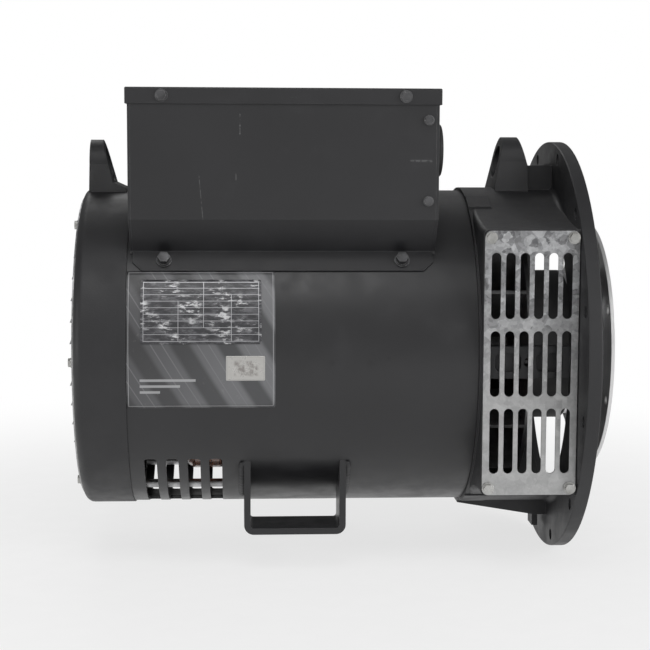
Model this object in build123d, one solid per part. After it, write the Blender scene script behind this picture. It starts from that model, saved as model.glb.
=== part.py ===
from build123d import *
import os
from math import cos, hypot, radians, sin, sqrt

# Generator alternator head: single-bearing, brushless, with an SAE 4 housing flange and a
# 7.5 inch flexible-disc coupling.
# Frame: the origin is the centre of the engine flange's mating face, +X runs along the shaft out
# of the flange towards the engine, +Z is up, and the rating-plate side is -Y.
# All lengths are millimetres and all angles degrees. Angles about the shaft start at +Y or -Y
# (the two sides are mirror images) and rise towards +Z.

os.makedirs("parts", exist_ok=True)

# ---------------------------------------------------------------- overall layout along the shaft
BELL_LENGTH = 102.2             # flange face back to the joint with the stator frame
FRAME_LENGTH = 319.0            # rolled stator frame
REAR_BRACKET_LENGTH = 47.4      # non-drive-end bracket, back face to frame
FRAME_R = 153.5
FRAME_WALL = 3.5
RABBET_DEPTH = 6.0              # how far each bracket locates inside the frame
RABBET_CLEARANCE = 0.1
RABBET_WALL = 7.0

FRAME_DRIVE_X = -BELL_LENGTH
FRAME_REAR_X = FRAME_DRIVE_X - FRAME_LENGTH
BRACKET_REAR_X = FRAME_REAR_X - REAR_BRACKET_LENGTH
FRAME_BORE_R = FRAME_R - FRAME_WALL
RABBET_R = FRAME_BORE_R - RABBET_CLEARANCE

# ---------------------------------------------------------------- engine flange, SAE J617 number 4
FLANGE_R = 201.6
FLANGE_THICKNESS = 12.7
FLANGE_EDGE_ROUND = 1.2
SPIGOT_HEIGHT = 5.0
FLANGE_HOLE_EDGE = 11.1         # from the bolt circle to the flange's rim
SPIGOT_STEP = 9.525             # from the bolt circle in to the spigot
SPIGOT_WALL = 13.975
MOUTH_RECESS = 6.0              # how far the spigot's bore goes into the flange
FLANGE_HOLE_R = 5.5
FLANGE_HOLE_COUNT = 12
FLANGE_HOLE_START = 15.0
FLANGE_SOCKET_R = 12.0          # room for a bolt head or socket behind each flange hole
FLANGE_SOCKET_DEPTH = 40.0

FLANGE_HOLE_PCR = FLANGE_R - FLANGE_HOLE_EDGE
SPIGOT_R = FLANGE_HOLE_PCR - SPIGOT_STEP
MOUTH_R = SPIGOT_R - SPIGOT_WALL

# ---------------------------------------------------------------- drive-end bell
BELL_STEP = 3.0                 # how far the bell stands proud of the stator frame
BELL_WALL = 8.0
BELL_THROAT = 5.0               # length of the slope from the rabbet's bore out to the bell's
BELL_ROOT_ROUND = 5.0
RIDGE_HEIGHT = 0.9              # flat ridges on the ring over the tie-rod bosses
RIDGE_WIDTH = 25.0
RIDGE_LENGTH = 22.0
KEEL_WIDTH = 48.0               # rib under the bell that deepens towards the flange
KEEL_REAR_DEPTH = 0.4
KEEL_FRONT_DEPTH = 13.5
NUB_DROP = 27.5                 # cast nub under the keel's deep end, below the bell's ring
NUB_LENGTH = 5.5
NUB_WIDTH = 22.0
NUB_BACK = 24.0

BELL_R = FRAME_R + BELL_STEP

# ---------------------------------------------------------------- outlet windows and their grilles
GRILLE_SCREW_SPAN_X = 75.0
GRILLE_SCREW_SPAN_Z = 228.0
GRILLE_SCREW_EDGE_X = 5.5       # from a screw to the plate's edge
GRILLE_SCREW_EDGE_Z = 6.3
GRILLE_THICKNESS = 2.0
GRILLE_CORNER_R = 6.0
GRILLE_BACK = 99.5              # rear edge of the plate behind the flange face
HOUSING_FACE_PROUD = 2.5        # machined face that the grille lies on, beyond the bell's ring
HOUSING_CORNER_ROUND = 5.0
HOUSING_MARGIN = 0.8
HOUSING_WALL = 6.0
HOUSING_LAND = 8.0              # depth of the land round the window
HOUSING_BLEND_ANGLE = 63.0      # where the housing roof runs out into the bell
WINDOW_HEIGHT = 209.0
WINDOW_CORNER_R = 8.0
SLOT_COLUMNS = 6
SLOT_ROWS = 3
SLOT_WIDTH = 8.6
SLOT_LENGTH = 59.6
SLOT_COLUMN_PITCH = 13.0
SLOT_ROW_PITCH = 70.6
STRUT_HEIGHT = 29.4
STRUT_THICKNESS = 12.0
STRUT_POCKET_LENGTH = 24.0
STRUT_POCKET_HEIGHT = 17.0
STRUT_POCKET_DEPTH = 5.0
STRUT_POCKET_ROUND = 5.0
STRUT_HOLE_R = 4.5

# ---------------------------------------------------------------- lifting lugs
LUG_HALF_WIDTH = 24.0
LUG_FLARE = 8.0
LUG_HOLE_R = 16.0
LUG_RELIEF = 2.0                # how much wider than the eye the trough in front of it is
DRIVE_LUG_HEIGHT = 49.7         # above the bell's ring
DRIVE_LUG_BACK = 60.0           # behind the flange face, at the lug's top
DRIVE_LUG_THICKNESS = 15.5
DRIVE_LUG_BACK_SLOPE = 10.0     # how much further back the base stands than the top
DRIVE_LUG_FRONT_SLOPE = 7.5
NECK_HEIGHT = 21.9
REAR_LUG_HEIGHT = 47.2          # above the rear bracket
REAR_LUG_INSET = 5.2            # rear face of the lug in front of the bracket's back face
REAR_LUG_THICKNESS = 12.0
REAR_LUG_FRONT_SLOPE = 11.0

# ---------------------------------------------------------------- non-drive-end bracket
REAR_BRACKET_STEP = 1.3         # how far the bracket stands proud of the stator frame
REAR_BRACKET_WALL = 6.0
REAR_EDGE_ROUND = 8.0
REAR_LIP_DEPTH = 6.0
REAR_LIP_WIDTH = 21.8
SPOKE_COUNT = 6
SPOKE_THICKNESS = 10.0
SPOKE_DEPTH = 17.0
HUB_WALL = 9.0

REAR_BRACKET_R = FRAME_R + REAR_BRACKET_STEP

# ---------------------------------------------------------------- rear louvred grille
REAR_GRILLE_INSET = 8.8         # grille's rim inside the bracket's outer radius
REAR_GRILLE_THICKNESS = 1.5
REAR_SCREW_COUNT = 6
REAR_SCREW_INSET = 6.0          # screw circle inside the grille's rim
LOUVRE_PITCH = 19.0
LOUVRE_OPENING = 7.0
LOUVRE_PROUD = 3.4
LOUVRE_ROWS = 13
LOUVRE_MID_GAP = 16.0
LOUVRE_RIM = 14.0

# ---------------------------------------------------------------- air slots and lead hole in frame
AIR_SLOT_WIDTH = 11.8
AIR_SLOT_PITCH = 20.1
AIR_SLOT_COUNT = 4
AIR_SLOT_REAR_INSET = 19.5      # centre of the last slot in front of the frame's rear end
AIR_SLOT_START = 37.0           # degrees below horizontal
AIR_SLOT_END = 84.0
AIR_SLOT_ROUND = 3.0
LEAD_HOLE_LENGTH = 46.0
LEAD_HOLE_WIDTH = 60.0
LEAD_HOLE_INSET = 52.0

# ---------------------------------------------------------------- stator pack
CORE_DUCT = 20.0                # air duct between the frame's bore and the pack
CORE_BORE_R = 85.0
CORE_LENGTH = 170.0
CORE_DRIVE_INSET = 58.0         # from the frame's drive end to the core
CORE_SLOTS = 36
CORE_SLOT_WIDTH = 6.4
CORE_SLOT_DEPTH = 26.0
CORE_BAR_WIDTH = 16.0
CORE_BAR_COUNT = 8
WINDING_OVERHANG = 40.0
WINDING_INNER_STEP = 6.0        # end turns start this far outside the pack's bore
WINDING_OUTER_STEP = 8.0        # and end this far inside its outer radius
WINDING_ROUND = 9.0
WINDING_CLEARANCE = 0.3
TIE_ROD_R = 4.0
TIE_ROD_INSET = 10.0            # rod circle inside the frame's bore
TIE_ROD_ANGLE = 66.5
TIE_BOSS_R = 9.5
TIE_BOSS_LENGTH = 10.5
TIE_SEAT_DEPTH = 15.0           # rear nut seats in front of the bracket's back face
TIE_ROD_CLEARANCE = 0.25

# ---------------------------------------------------------------- bearing, 6308 size
BEARING_BORE_R = 20.0
BEARING_R = 45.0
BEARING_WIDTH = 23.0
BEARING_INSET = 6.6             # from the bracket's back face to the bearing
BALL_R = 7.5
BALL_COUNT = 8
BALL_CLEARANCE = 0.06
RACE_LAND = 4.6                 # how far each race stands short of the ball circle
CAGE_THICKNESS = 3.0
CAGE_WIDTH = 19.0
SEAT_CLEARANCE = 0.02

# ---------------------------------------------------------------- rotor
AIR_GAP = 0.6
ROTOR_SEAT_R = 30.0
EXCITER_SEAT_R = 25.0
HUB_SEAT_R = 35.0
SHAFT_REAR_INSET = 4.0
SHAFT_FRONT_X = 24.0
POLE_WIDTH = 56.0
POLE_SHOE_HEIGHT = 12.0
POLE_SHOE_GAP = 34.0            # opening between neighbouring shoes
COIL_THICKNESS = 14.0
COIL_END_CLEARANCE = 6.0
YOKE_R = 46.0

# ---------------------------------------------------------------- exciter and rotating rectifier
EXCITER_R = 104.0
EXCITER_LENGTH = 26.0
EXCITER_INSET = 12.0            # in front of the rear bracket joint
EXCITER_BORE_R = 62.0
EXCITER_POLES = 8
EXCITER_YOKE = 14.0
EXCITER_POLE_WIDTH = 20.0
EXCITER_COIL_THICKNESS = 6.0
EXCITER_GAP = 0.5
EXCITER_POST_R = 6.0
EXCITER_POST_PCR = 97.0
RECTIFIER_R = 56.0
RECTIFIER_THICKNESS = 4.0
RECTIFIER_GAP = 11.0
DIODE_R = 6.0
DIODE_HEIGHT = 7.0
DIODE_PCR = 42.0
DIODE_COUNT = 6

# ---------------------------------------------------------------- fan
FAN_TIP_GAP = 12.5              # from the bell's bore to the fan
FAN_PLATE_FRONT = 50.0          # front of the back plate behind the flange face
FAN_PLATE_THICKNESS = 4.0
FAN_DEPTH = 46.0
FAN_BLADE_COUNT = 13
FAN_BLADE_THICKNESS = 3.2
FAN_BLADE_INNER_R = 62.0
FAN_BLADE_INSET = 0.5           # how far the blade tips stand inside the plate's rim
FAN_BLADE_LEAN = 24.0           # degrees that each blade leans back from the radius
FAN_HUB_WALL = 10.0
FAN_HUB_LENGTH = 28.0

# ---------------------------------------------------------------- disc coupling, SAE J620 size 7.5
DISC_R = 120.65
DISC_FACE_X = 30.2
DISC_THICKNESS = 3.2
DISC_HOLE_PCR = 111.125
DISC_HOLE_R = 4.35
DISC_HOLE_COUNT = 8
DISC_BORE_R = 36.0
HUB_DRUM_R = 74.0
HUB_REAR = 49.0                 # rear end of the hub's drum behind the flange face
HUB_DRUM_LENGTH = 50.5
HUB_WAIST_R = 70.0
HUB_WAIST_ROUND = 4.0
HUB_EDGE_ROUND = 2.0
HUB_FLANGE_R = 86.0
HUB_FLANGE_THICKNESS = 12.0
CLAMP_R = 72.0
CLAMP_THICKNESS = 5.0
CLAMP_BOLT_PCR = 57.0
CLAMP_BOLT_COUNT = 8
CLAMP_BOLT_R = 5.0
CLAMP_BOLT_AF = 16.0
CLAMP_BOLT_HEAD = 6.4
CLAMP_BOLT_REACH = 17.0

# ---------------------------------------------------------------- terminal box
BOX_LENGTH = 279.0
BOX_DRIVE_INSET = 37.3          # box end behind the bell joint
BOX_HALF_WIDTH = 144.0
BOX_KINK_Z = 129.3
BOX_TOP_Z = 244.4
SHEET = 1.5
END_SHEET = 2.4
END_RETURN = 14.0
FOOT_TANGENT_ANGLE = 36.0
FOOT_LENGTH = 21.0
FOOT_CORNER_CUT = 9.0
LID_THICKNESS = 1.6
LID_SKIRT = 14.5
LID_OVERHANG = 0.4
LID_TOP_Z = 246.5
LID_ROUND = 1.4
LID_SCREW_Z = 239.2
LID_SCREW_SPAN = 218.0
PANEL_SCREW_ZS = (146.0, 218.5)
BOLT_CORNER_GAP = 8.0           # from a foot's cut corner to the rim of its bolt's washer
PANEL_SCREW_INSET = 7.0
PLUG_R = 25.0
PLUG_PROUD = 10.0
PLUG_STEM_R = 21.0
PLUG_Y = -75.0
PLUG_Z = 192.0
PLUG_ROUND = 3.0
PLUG_CLEARANCE = 0.2

# ---------------------------------------------------------------- inside the terminal box
TRAY_Z = 166.0
TRAY_HALF_WIDTH = 118.0
TRAY_LEG = 9.0
BOARD_LENGTH = 150.0
BOARD_WIDTH = 70.0
BOARD_THICKNESS = 14.0
BOARD_STUD_R = 4.0
BOARD_STUD_HEIGHT = 20.0
BOARD_STUD_COLUMNS = 4
BOARD_STUD_PITCH_X = 34.0
BOARD_STUD_PITCH_Y = 36.0
BOARD_Y = 62.0
REGULATOR_LENGTH = 140.0
REGULATOR_WIDTH = 84.0
REGULATOR_HEIGHT = 30.0
REGULATOR_WALL = 3.0
REGULATOR_Y = -52.0
REGULATOR_ROUND = 4.0
TRIMMER_COUNT = 4
TRIMMER_R = 5.0
TRIMMER_HEIGHT = 7.0
TRIMMER_PROUD = 2.5
TRIMMER_PITCH = 18.0
TRIMMER_CLEARANCE = 0.06
TRIMMER_SLOT_WIDTH = 1.2
TRIMMER_SLOT_DEPTH = 1.4

# ---------------------------------------------------------------- strap feet
STRAP_WIDTH = 50.0
STRAP_THICKNESS = 6.0
STRAP_SPAN = 94.7
STRAP_OUTER_INSET = 32.5        # outer edge inside the frame's radius
STRAP_DROP = 11.2               # sole below the frame
STRAP_DRIVE_INSET = 118.3
STRAP_BEND_R = 9.0

# ---------------------------------------------------------------- screws
M5_R = 2.5
M5_AF = 8.0
M5_FLANGE_R = 5.6
M5_HEAD = 5.0
M6_R = 3.0
M6_AF = 10.0
M6_FLANGE_R = 7.0
M6_HEAD = 5.6
WASHER_THICKNESS = 1.6
SMALL_SCREW_R = 2.0
SMALL_SCREW_AF = 7.0
SMALL_SCREW_FLANGE_R = 4.6
SMALL_SCREW_HEAD = 3.4
SCREW_REACH = 9.0
SCREW_HOLE_CLEARANCE = 0.2
NUT_HEIGHT = 6.5
NUT_AF = 13.0

# ---------------------------------------------------------------- places worked out from the above
GRILLE_WIDTH = GRILLE_SCREW_SPAN_X + 2 * GRILLE_SCREW_EDGE_X
GRILLE_HEIGHT = GRILLE_SCREW_SPAN_Z + 2 * GRILLE_SCREW_EDGE_Z
GRILLE_X = GRILLE_WIDTH / 2 - GRILLE_BACK
HOUSING_FACE_Y = BELL_R + HOUSING_FACE_PROUD
HOUSING_BACK_X = -GRILLE_BACK - HOUSING_MARGIN
HOUSING_HALF_Z = GRILLE_HEIGHT / 2 + HOUSING_MARGIN
DRIVE_LUG_TOP_Z = BELL_R + DRIVE_LUG_HEIGHT
NECK_TOP_Z = BELL_R + NECK_HEIGHT
REAR_LUG_TOP_Z = REAR_BRACKET_R + REAR_LUG_HEIGHT
REAR_OPENING_R = REAR_BRACKET_R - REAR_LIP_WIDTH
REAR_GRILLE_R = REAR_BRACKET_R - REAR_GRILLE_INSET
REAR_SCREW_PCR = REAR_GRILLE_R - REAR_SCREW_INSET
CORE_R = FRAME_BORE_R - CORE_DUCT
WINDING_INNER_R = CORE_BORE_R + WINDING_INNER_STEP
WINDING_OUTER_R = CORE_R - WINDING_OUTER_STEP
TIE_ROD_PCR = FRAME_BORE_R - TIE_ROD_INSET
CORE_DRIVE_X = FRAME_DRIVE_X - CORE_DRIVE_INSET
CORE_REAR_X = CORE_DRIVE_X - CORE_LENGTH
BEARING_X0 = BRACKET_REAR_X + BEARING_INSET
BEARING_X1 = BEARING_X0 + BEARING_WIDTH
BEARING_MID_X = (BEARING_X0 + BEARING_X1) / 2
BALL_CIRCLE_R = (BEARING_BORE_R + BEARING_R) / 2
HUB_OUTER_R = BEARING_R + HUB_WALL
ROTOR_R = CORE_BORE_R - AIR_GAP
FAN_R = BELL_R - BELL_WALL - FAN_TIP_GAP
FAN_X1 = -FAN_PLATE_FRONT
FAN_X0 = FAN_X1 - FAN_DEPTH
HUB_X0 = -HUB_REAR
DISC_X0 = DISC_FACE_X - DISC_THICKNESS
EXCITER_X1 = FRAME_REAR_X + EXCITER_INSET + EXCITER_LENGTH
EXCITER_X0 = FRAME_REAR_X + EXCITER_INSET
BOX_DRIVE_X = FRAME_DRIVE_X - BOX_DRIVE_INSET
BOX_REAR_X = BOX_DRIVE_X - BOX_LENGTH
BOX_X = (BOX_DRIVE_X + BOX_REAR_X) / 2
STRAP_X = FRAME_DRIVE_X - STRAP_DRIVE_INSET - STRAP_SPAN / 2
STRAP_OUTER_Y = FRAME_R - STRAP_OUTER_INSET
STRAP_BOTTOM_Z = -FRAME_R - STRAP_DROP
AIR_SLOT_XS = [FRAME_REAR_X + AIR_SLOT_REAR_INSET + AIR_SLOT_PITCH * i for i in range(AIR_SLOT_COUNT)]


# ================================================================ shapes used throughout
def cylinder_x(x0, x1, radius, y=0.0, z=0.0):
    """A cylinder along the shaft direction."""
    return extrude(Plane.YZ.offset(x0) * Pos(y, z) * Circle(radius), x1 - x0)


def ring(x0, x1, outer, inner):
    """A tube about the shaft axis."""
    return extrude(Plane.YZ.offset(x0) * (Circle(outer) - Circle(inner)), x1 - x0)


def block(x0, x1, y0, y1, z0, z1):
    """A box between two corners."""
    return Pos((x0 + x1) / 2, (y0 + y1) / 2, (z0 + z1) / 2) * Box(x1 - x0, y1 - y0, z1 - z0)


def spun(points, rounds=()):
    """Revolve an (x, radius) outline about the shaft; rounds are (x, radius, fillet radius)."""
    face = make_face(Polyline(*points, close=True))
    for x, radius, size in rounds:
        corner = face.vertices().sort_by_distance((x, radius, 0))[0]
        face = fillet(corner, size)
    return revolve(face, Axis.X)


def around(shape, count, start=0.0):
    """Copies of a shape spaced evenly about the shaft."""
    return [Rot(X=start + 360 / count * i) * shape for i in range(count)]


def both_sides(shape):
    """A shape and its mirror image on the other side of the shaft."""
    return [shape, mirror(shape, about=Plane.XZ)]


def four_corners(shape):
    """A shape with its mirror images to the side and below."""
    return both_sides(shape) + both_sides(mirror(shape, about=Plane.XY))


def group(shapes):
    """Separate solids that share one node."""
    return Compound([solid for shape in shapes for solid in shape.solids()])


def polar(radius, angle):
    """The point (y, z) at a radius and an angle above horizontal, on the +Y side."""
    return radius * cos(radians(angle)), radius * sin(radians(angle))


def hex_screw(radius, reach, across_flats, flange_r, head):
    """A flanged hex screw: seat at the origin, head along +Z and shank along -Z."""
    collar = head / 3
    return (
        Pos(0, 0, -reach / 2) * Cylinder(radius, reach)
        + Pos(0, 0, collar / 2) * Cylinder(flange_r, collar)
        + extrude(Pos(0, 0, collar) * RegularPolygon(across_flats / sqrt(3), 6), head - collar)
    )


def facing(shape, y, z, x, direction):
    """Place a shape made along +Z so that it points along a (y, z) direction."""
    plane = Plane(origin=(x, y, z), x_dir=(1, 0, 0), z_dir=(0, direction[0], direction[1]))
    return plane * shape


def strip_outline(points, thickness):
    """Outline of a folded strip: the points and their mitred copies to the left of the path."""
    normals = []
    for (y0, z0), (y1, z1) in zip(points, points[1:]):
        length = hypot(y1 - y0, z1 - z0)
        normals.append(((z0 - z1) / length, (y1 - y0) / length))
    copies = []
    for i, (y, z) in enumerate(points):
        a = normals[max(i - 1, 0)]
        b = normals[min(i, len(normals) - 1)]
        scale = thickness / (1 + a[0] * b[0] + a[1] * b[1])
        copies.append((y + (a[0] + b[0]) * scale, z + (a[1] + b[1]) * scale))
    return points + copies[::-1]


# ================================================================ stator frame
def air_slot(x):
    """Cutter for one curved air slot on the +Y side, below the shaft."""
    depth = FRAME_WALL * 3
    face = Pos(x, FRAME_R) * Rectangle(AIR_SLOT_WIDTH, depth)
    cutter = revolve(face, Axis.X, AIR_SLOT_END - AIR_SLOT_START)
    ends = cutter.edges().filter_by(lambda edge: abs(edge.length - depth) < 0.001)
    return Rot(X=-AIR_SLOT_END) * fillet(ends, AIR_SLOT_ROUND)


def lead_hole():
    """Cutter for the opening that the stator leads pass up through into the box."""
    x = FRAME_REAR_X + LEAD_HOLE_INSET
    outline = Pos(x, 0) * RectangleRounded(LEAD_HOLE_LENGTH, LEAD_HOLE_WIDTH, AIR_SLOT_ROUND)
    return extrude(Plane.XY.offset(FRAME_R / 2) * outline, FRAME_R)


def stator_frame():
    tube = ring(FRAME_REAR_X, FRAME_DRIVE_X, FRAME_R, FRAME_BORE_R)
    cutters = [side for x in AIR_SLOT_XS for side in both_sides(air_slot(x))]
    bolt_y, bolt_z = polar(FRAME_R, FOOT_TANGENT_ANGLE)
    for x in foot_bolt_xs():
        hole = Cylinder(M6_R + SCREW_HOLE_CLEARANCE, FRAME_WALL * 4)
        cutters += both_sides(facing(hole, bolt_y, bolt_z, x, (bolt_y, bolt_z)))
    return tube - cutters - lead_hole()


def core_bars():
    """Steel bars that hold the lamination pack concentric in the frame."""
    wide = CORE_BAR_WIDTH / 2
    bar = block(CORE_REAR_X, CORE_DRIVE_X, CORE_R / 2, FRAME_R, -wide, wide)
    shell = ring(CORE_REAR_X, CORE_DRIVE_X, FRAME_BORE_R, CORE_R)
    return group([shell & piece for piece in around(bar, CORE_BAR_COUNT)])


def strap_foot():
    """A flat bar bent to a U, its legs welded to the frame on the +Y side."""
    y0 = STRAP_OUTER_Y - STRAP_WIDTH
    outer = Pos(STRAP_X, 0) * Rectangle(STRAP_SPAN, 2 * -STRAP_BOTTOM_Z)
    inner_span = STRAP_SPAN - 2 * STRAP_THICKNESS
    inner = Pos(STRAP_X, 0) * Rectangle(inner_span, 2 * (-STRAP_BOTTOM_Z - STRAP_THICKNESS))
    lower = [v for v in outer.vertices() if v.Y < 0]
    outer = fillet(lower, STRAP_BEND_R)
    lower = [v for v in inner.vertices() if v.Y < 0]
    inner = fillet(lower, STRAP_BEND_R - STRAP_THICKNESS)
    bar = extrude(Plane.XZ.offset(-y0) * (outer - inner), -STRAP_WIDTH)
    drum = cylinder_x(FRAME_REAR_X, FRAME_DRIVE_X, FRAME_R)
    above = block(FRAME_REAR_X, FRAME_DRIVE_X, y0 - 1, STRAP_OUTER_Y + 1, 0, FRAME_R)
    seat = block(FRAME_REAR_X, FRAME_DRIVE_X, y0 - 1, STRAP_OUTER_Y + 1, -FRAME_R / 2, FRAME_R * 2)
    return bar - drum - (seat - drum) - above


# ================================================================ drive-end bracket
def bell_shell():
    rear_x = FRAME_DRIVE_X - RABBET_DEPTH
    flange_back = -FLANGE_THICKNESS
    outline = [
        (rear_x, RABBET_R),
        (FRAME_DRIVE_X, RABBET_R),
        (FRAME_DRIVE_X, BELL_R),
        (flange_back, BELL_R),
        (flange_back, FLANGE_R),
        (0, FLANGE_R),
        (0, SPIGOT_R),
        (SPIGOT_HEIGHT, SPIGOT_R),
        (SPIGOT_HEIGHT, 0),
        (rear_x, 0),
    ]
    rounds = [
        (flange_back, BELL_R, BELL_ROOT_ROUND),
        (flange_back, FLANGE_R, FLANGE_EDGE_ROUND),
        (0, FLANGE_R, FLANGE_EDGE_ROUND),
    ]
    return spun(outline, rounds)


def bell_cavity():
    """The space inside the bell, open at both ends."""
    rear_x = FRAME_DRIVE_X - RABBET_DEPTH - 1
    outline = [
        (rear_x, 0),
        (rear_x, RABBET_R - RABBET_WALL),
        (FRAME_DRIVE_X, RABBET_R - RABBET_WALL),
        (FRAME_DRIVE_X + BELL_THROAT, BELL_R - BELL_WALL),
        (-MOUTH_RECESS, BELL_R - BELL_WALL),
        (-MOUTH_RECESS, MOUTH_R),
        (SPIGOT_HEIGHT + 1, MOUTH_R),
        (SPIGOT_HEIGHT + 1, 0),
    ]
    return spun(outline)


def window_housing():
    """The raised housing round the outlet window on the +Y side, solid inside."""
    corner = (HOUSING_FACE_Y, HOUSING_HALF_Z)
    run_out = polar(BELL_R, HOUSING_BLEND_ANGLE)
    roof = TangentArc(corner, run_out, tangent=(-1, 0))
    floor = mirror(roof, about=Plane.XZ)
    face_edge = Line((corner[0], -corner[1]), corner)
    back_edge = Line(run_out, (run_out[0], -run_out[1]))
    section = make_face([roof, back_edge, floor, face_edge])
    length = -FLANGE_THICKNESS - HOUSING_BACK_X
    housing = extrude(Plane.YZ.offset(HOUSING_BACK_X) * section, length)
    rear_edges = housing.faces().sort_by(Axis.X)[0].edges()
    return fillet(rear_edges.filter_by(GeomType.CIRCLE), HOUSING_CORNER_ROUND)


def window_cavity():
    """Cutter for the window on the +Y side: the land's opening and the room behind it."""
    half_x = GRILLE_WIDTH / 2 + HOUSING_MARGIN - HOUSING_WALL
    half_z = HOUSING_HALF_Z - HOUSING_WALL
    land_y = HOUSING_FACE_Y - HOUSING_LAND
    room = block(GRILLE_X - half_x, GRILLE_X + half_x, 0, land_y, -half_z, half_z)
    outline = RectangleRounded(2 * half_x, WINDOW_HEIGHT, WINDOW_CORNER_R)
    opening = extrude(Plane.XZ.offset(-land_y + 1) * Pos(GRILLE_X, 0) * outline, -HOUSING_LAND - 2)
    return room + opening


def window_strut():
    """The bar across the middle of the +Y window, with two cast pockets and a core hole."""
    half_x = GRILLE_WIDTH / 2 + HOUSING_MARGIN - HOUSING_WALL / 2
    y1 = HOUSING_FACE_Y - HOUSING_LAND
    y0 = y1 - STRUT_THICKNESS
    half_z = STRUT_HEIGHT / 2
    bar = block(GRILLE_X - half_x, GRILLE_X + half_x, y0, y1, -half_z, half_z)
    pocket = RectangleRounded(STRUT_POCKET_LENGTH, STRUT_POCKET_HEIGHT, STRUT_POCKET_ROUND)
    offset = STRUT_POCKET_LENGTH / 2 + STRUT_HOLE_R + STRUT_POCKET_ROUND / 2
    front = Plane.XZ.offset(-y1)
    for side in (-1, 1):
        outline = front * Pos(GRILLE_X + side * offset, 0) * pocket
        bar -= extrude(outline, STRUT_POCKET_DEPTH)
    return bar - extrude(front * Pos(GRILLE_X, 0) * Circle(STRUT_HOLE_R), STRUT_THICKNESS)


def lug_outline(top_z, base_z):
    """Front view of a lifting lug: a round head on legs that flare into the casting."""
    head_z = top_z - LUG_HALF_WIDTH
    foot = LUG_HALF_WIDTH + LUG_FLARE
    legs = Polygon(
        (-foot, base_z), (foot, base_z), (LUG_HALF_WIDTH, head_z), (-LUG_HALF_WIDTH, head_z), align=None
    )
    return legs + Pos(0, head_z) * Circle(LUG_HALF_WIDTH)


def lug(side_points, top_z, base_z, x_min, x_max):
    """A lifting lug: its side view cut from its front view, with a round eye."""
    front = extrude(Plane.YZ.offset(x_min) * lug_outline(top_z, base_z), x_max - x_min)
    side = extrude(Plane.XZ * Polygon(*side_points, align=None), 2 * LUG_HALF_WIDTH, both=True)
    body = front & side
    eye = cylinder_x(x_min, x_max, LUG_HOLE_R, z=top_z - LUG_HALF_WIDTH)
    return body - eye


def drive_lug():
    """The drive-end lug and the troughed neck that ties it to the flange."""
    base_z = BELL_R - BELL_WALL / 2
    top_back = -DRIVE_LUG_BACK
    top_front = top_back + DRIVE_LUG_THICKNESS
    side_points = [
        (top_back - DRIVE_LUG_BACK_SLOPE, base_z),
        (top_back - DRIVE_LUG_BACK_SLOPE, BELL_R),
        (top_back, DRIVE_LUG_TOP_Z),
        (top_front, DRIVE_LUG_TOP_Z),
        (top_front + DRIVE_LUG_FRONT_SLOPE, NECK_TOP_Z),
        (top_front + DRIVE_LUG_FRONT_SLOPE, base_z),
    ]
    neck_back = top_front + DRIVE_LUG_FRONT_SLOPE
    ear = lug(side_points, DRIVE_LUG_TOP_Z, base_z, top_back - DRIVE_LUG_BACK_SLOPE - 1, neck_back)
    neck = block(neck_back, -FLANGE_THICKNESS, -LUG_HALF_WIDTH, LUG_HALF_WIDTH, base_z, NECK_TOP_Z)
    eye_z = DRIVE_LUG_TOP_Z - LUG_HALF_WIDTH
    return ear + (neck - cylinder_x(neck_back, -FLANGE_THICKNESS, LUG_HOLE_R + LUG_RELIEF, z=eye_z))


def tie_boss(x0, x1):
    """Boss for one tie rod."""
    y, z = polar(TIE_ROD_PCR, TIE_ROD_ANGLE)
    return cylinder_x(x0, x1, TIE_BOSS_R, y, z)


def tie_hole(x0, x1):
    """Cutter for one tie-rod hole."""
    y, z = polar(TIE_ROD_PCR, TIE_ROD_ANGLE)
    return cylinder_x(x0, x1, TIE_ROD_R + TIE_ROD_CLEARANCE, y, z)


def bell_ridge():
    """Flat ridge on the outside of the bell's ring, over a tie-rod boss."""
    outline = block(
        FRAME_DRIVE_X,
        FRAME_DRIVE_X + RIDGE_LENGTH,
        BELL_R - BELL_WALL / 2,
        BELL_R + RIDGE_HEIGHT,
        -RIDGE_WIDTH / 2,
        RIDGE_WIDTH / 2,
    )
    return Rot(X=TIE_ROD_ANGLE) * outline


def bell_keel():
    """Rib under the bell that deepens towards the flange and ends in a small cast nub."""
    root = -BELL_R + BELL_WALL / 2
    side = Polygon(
        (FRAME_DRIVE_X, root),
        (FRAME_DRIVE_X, -BELL_R - KEEL_REAR_DEPTH),
        (-NUB_BACK, -BELL_R - KEEL_FRONT_DEPTH),
        (-FLANGE_THICKNESS, -BELL_R - KEEL_FRONT_DEPTH),
        (-FLANGE_THICKNESS, root),
        align=None,
    )
    keel = extrude(Plane.XZ * side, KEEL_WIDTH / 2, both=True)
    half = NUB_WIDTH / 2
    return keel + block(-NUB_BACK, NUB_LENGTH - NUB_BACK, -half, half, -BELL_R - NUB_DROP, root)


def grille_flat():
    """Cutter for the machined face that the +Y grille lies on, up to the flange."""
    depth = FLANGE_R - HOUSING_FACE_Y
    return block(
        HOUSING_BACK_X - 1,
        -FLANGE_THICKNESS,
        HOUSING_FACE_Y,
        HOUSING_FACE_Y + depth,
        -HOUSING_HALF_Z,
        HOUSING_HALF_Z,
    )


def grille_screw_places():
    """The four screw places of a side grille, as (x, z)."""
    half_x = GRILLE_SCREW_SPAN_X / 2
    half_z = GRILLE_SCREW_SPAN_Z / 2
    return [(GRILLE_X + i * half_x, j * half_z) for i in (-1, 1) for j in (-1, 1)]


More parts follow.
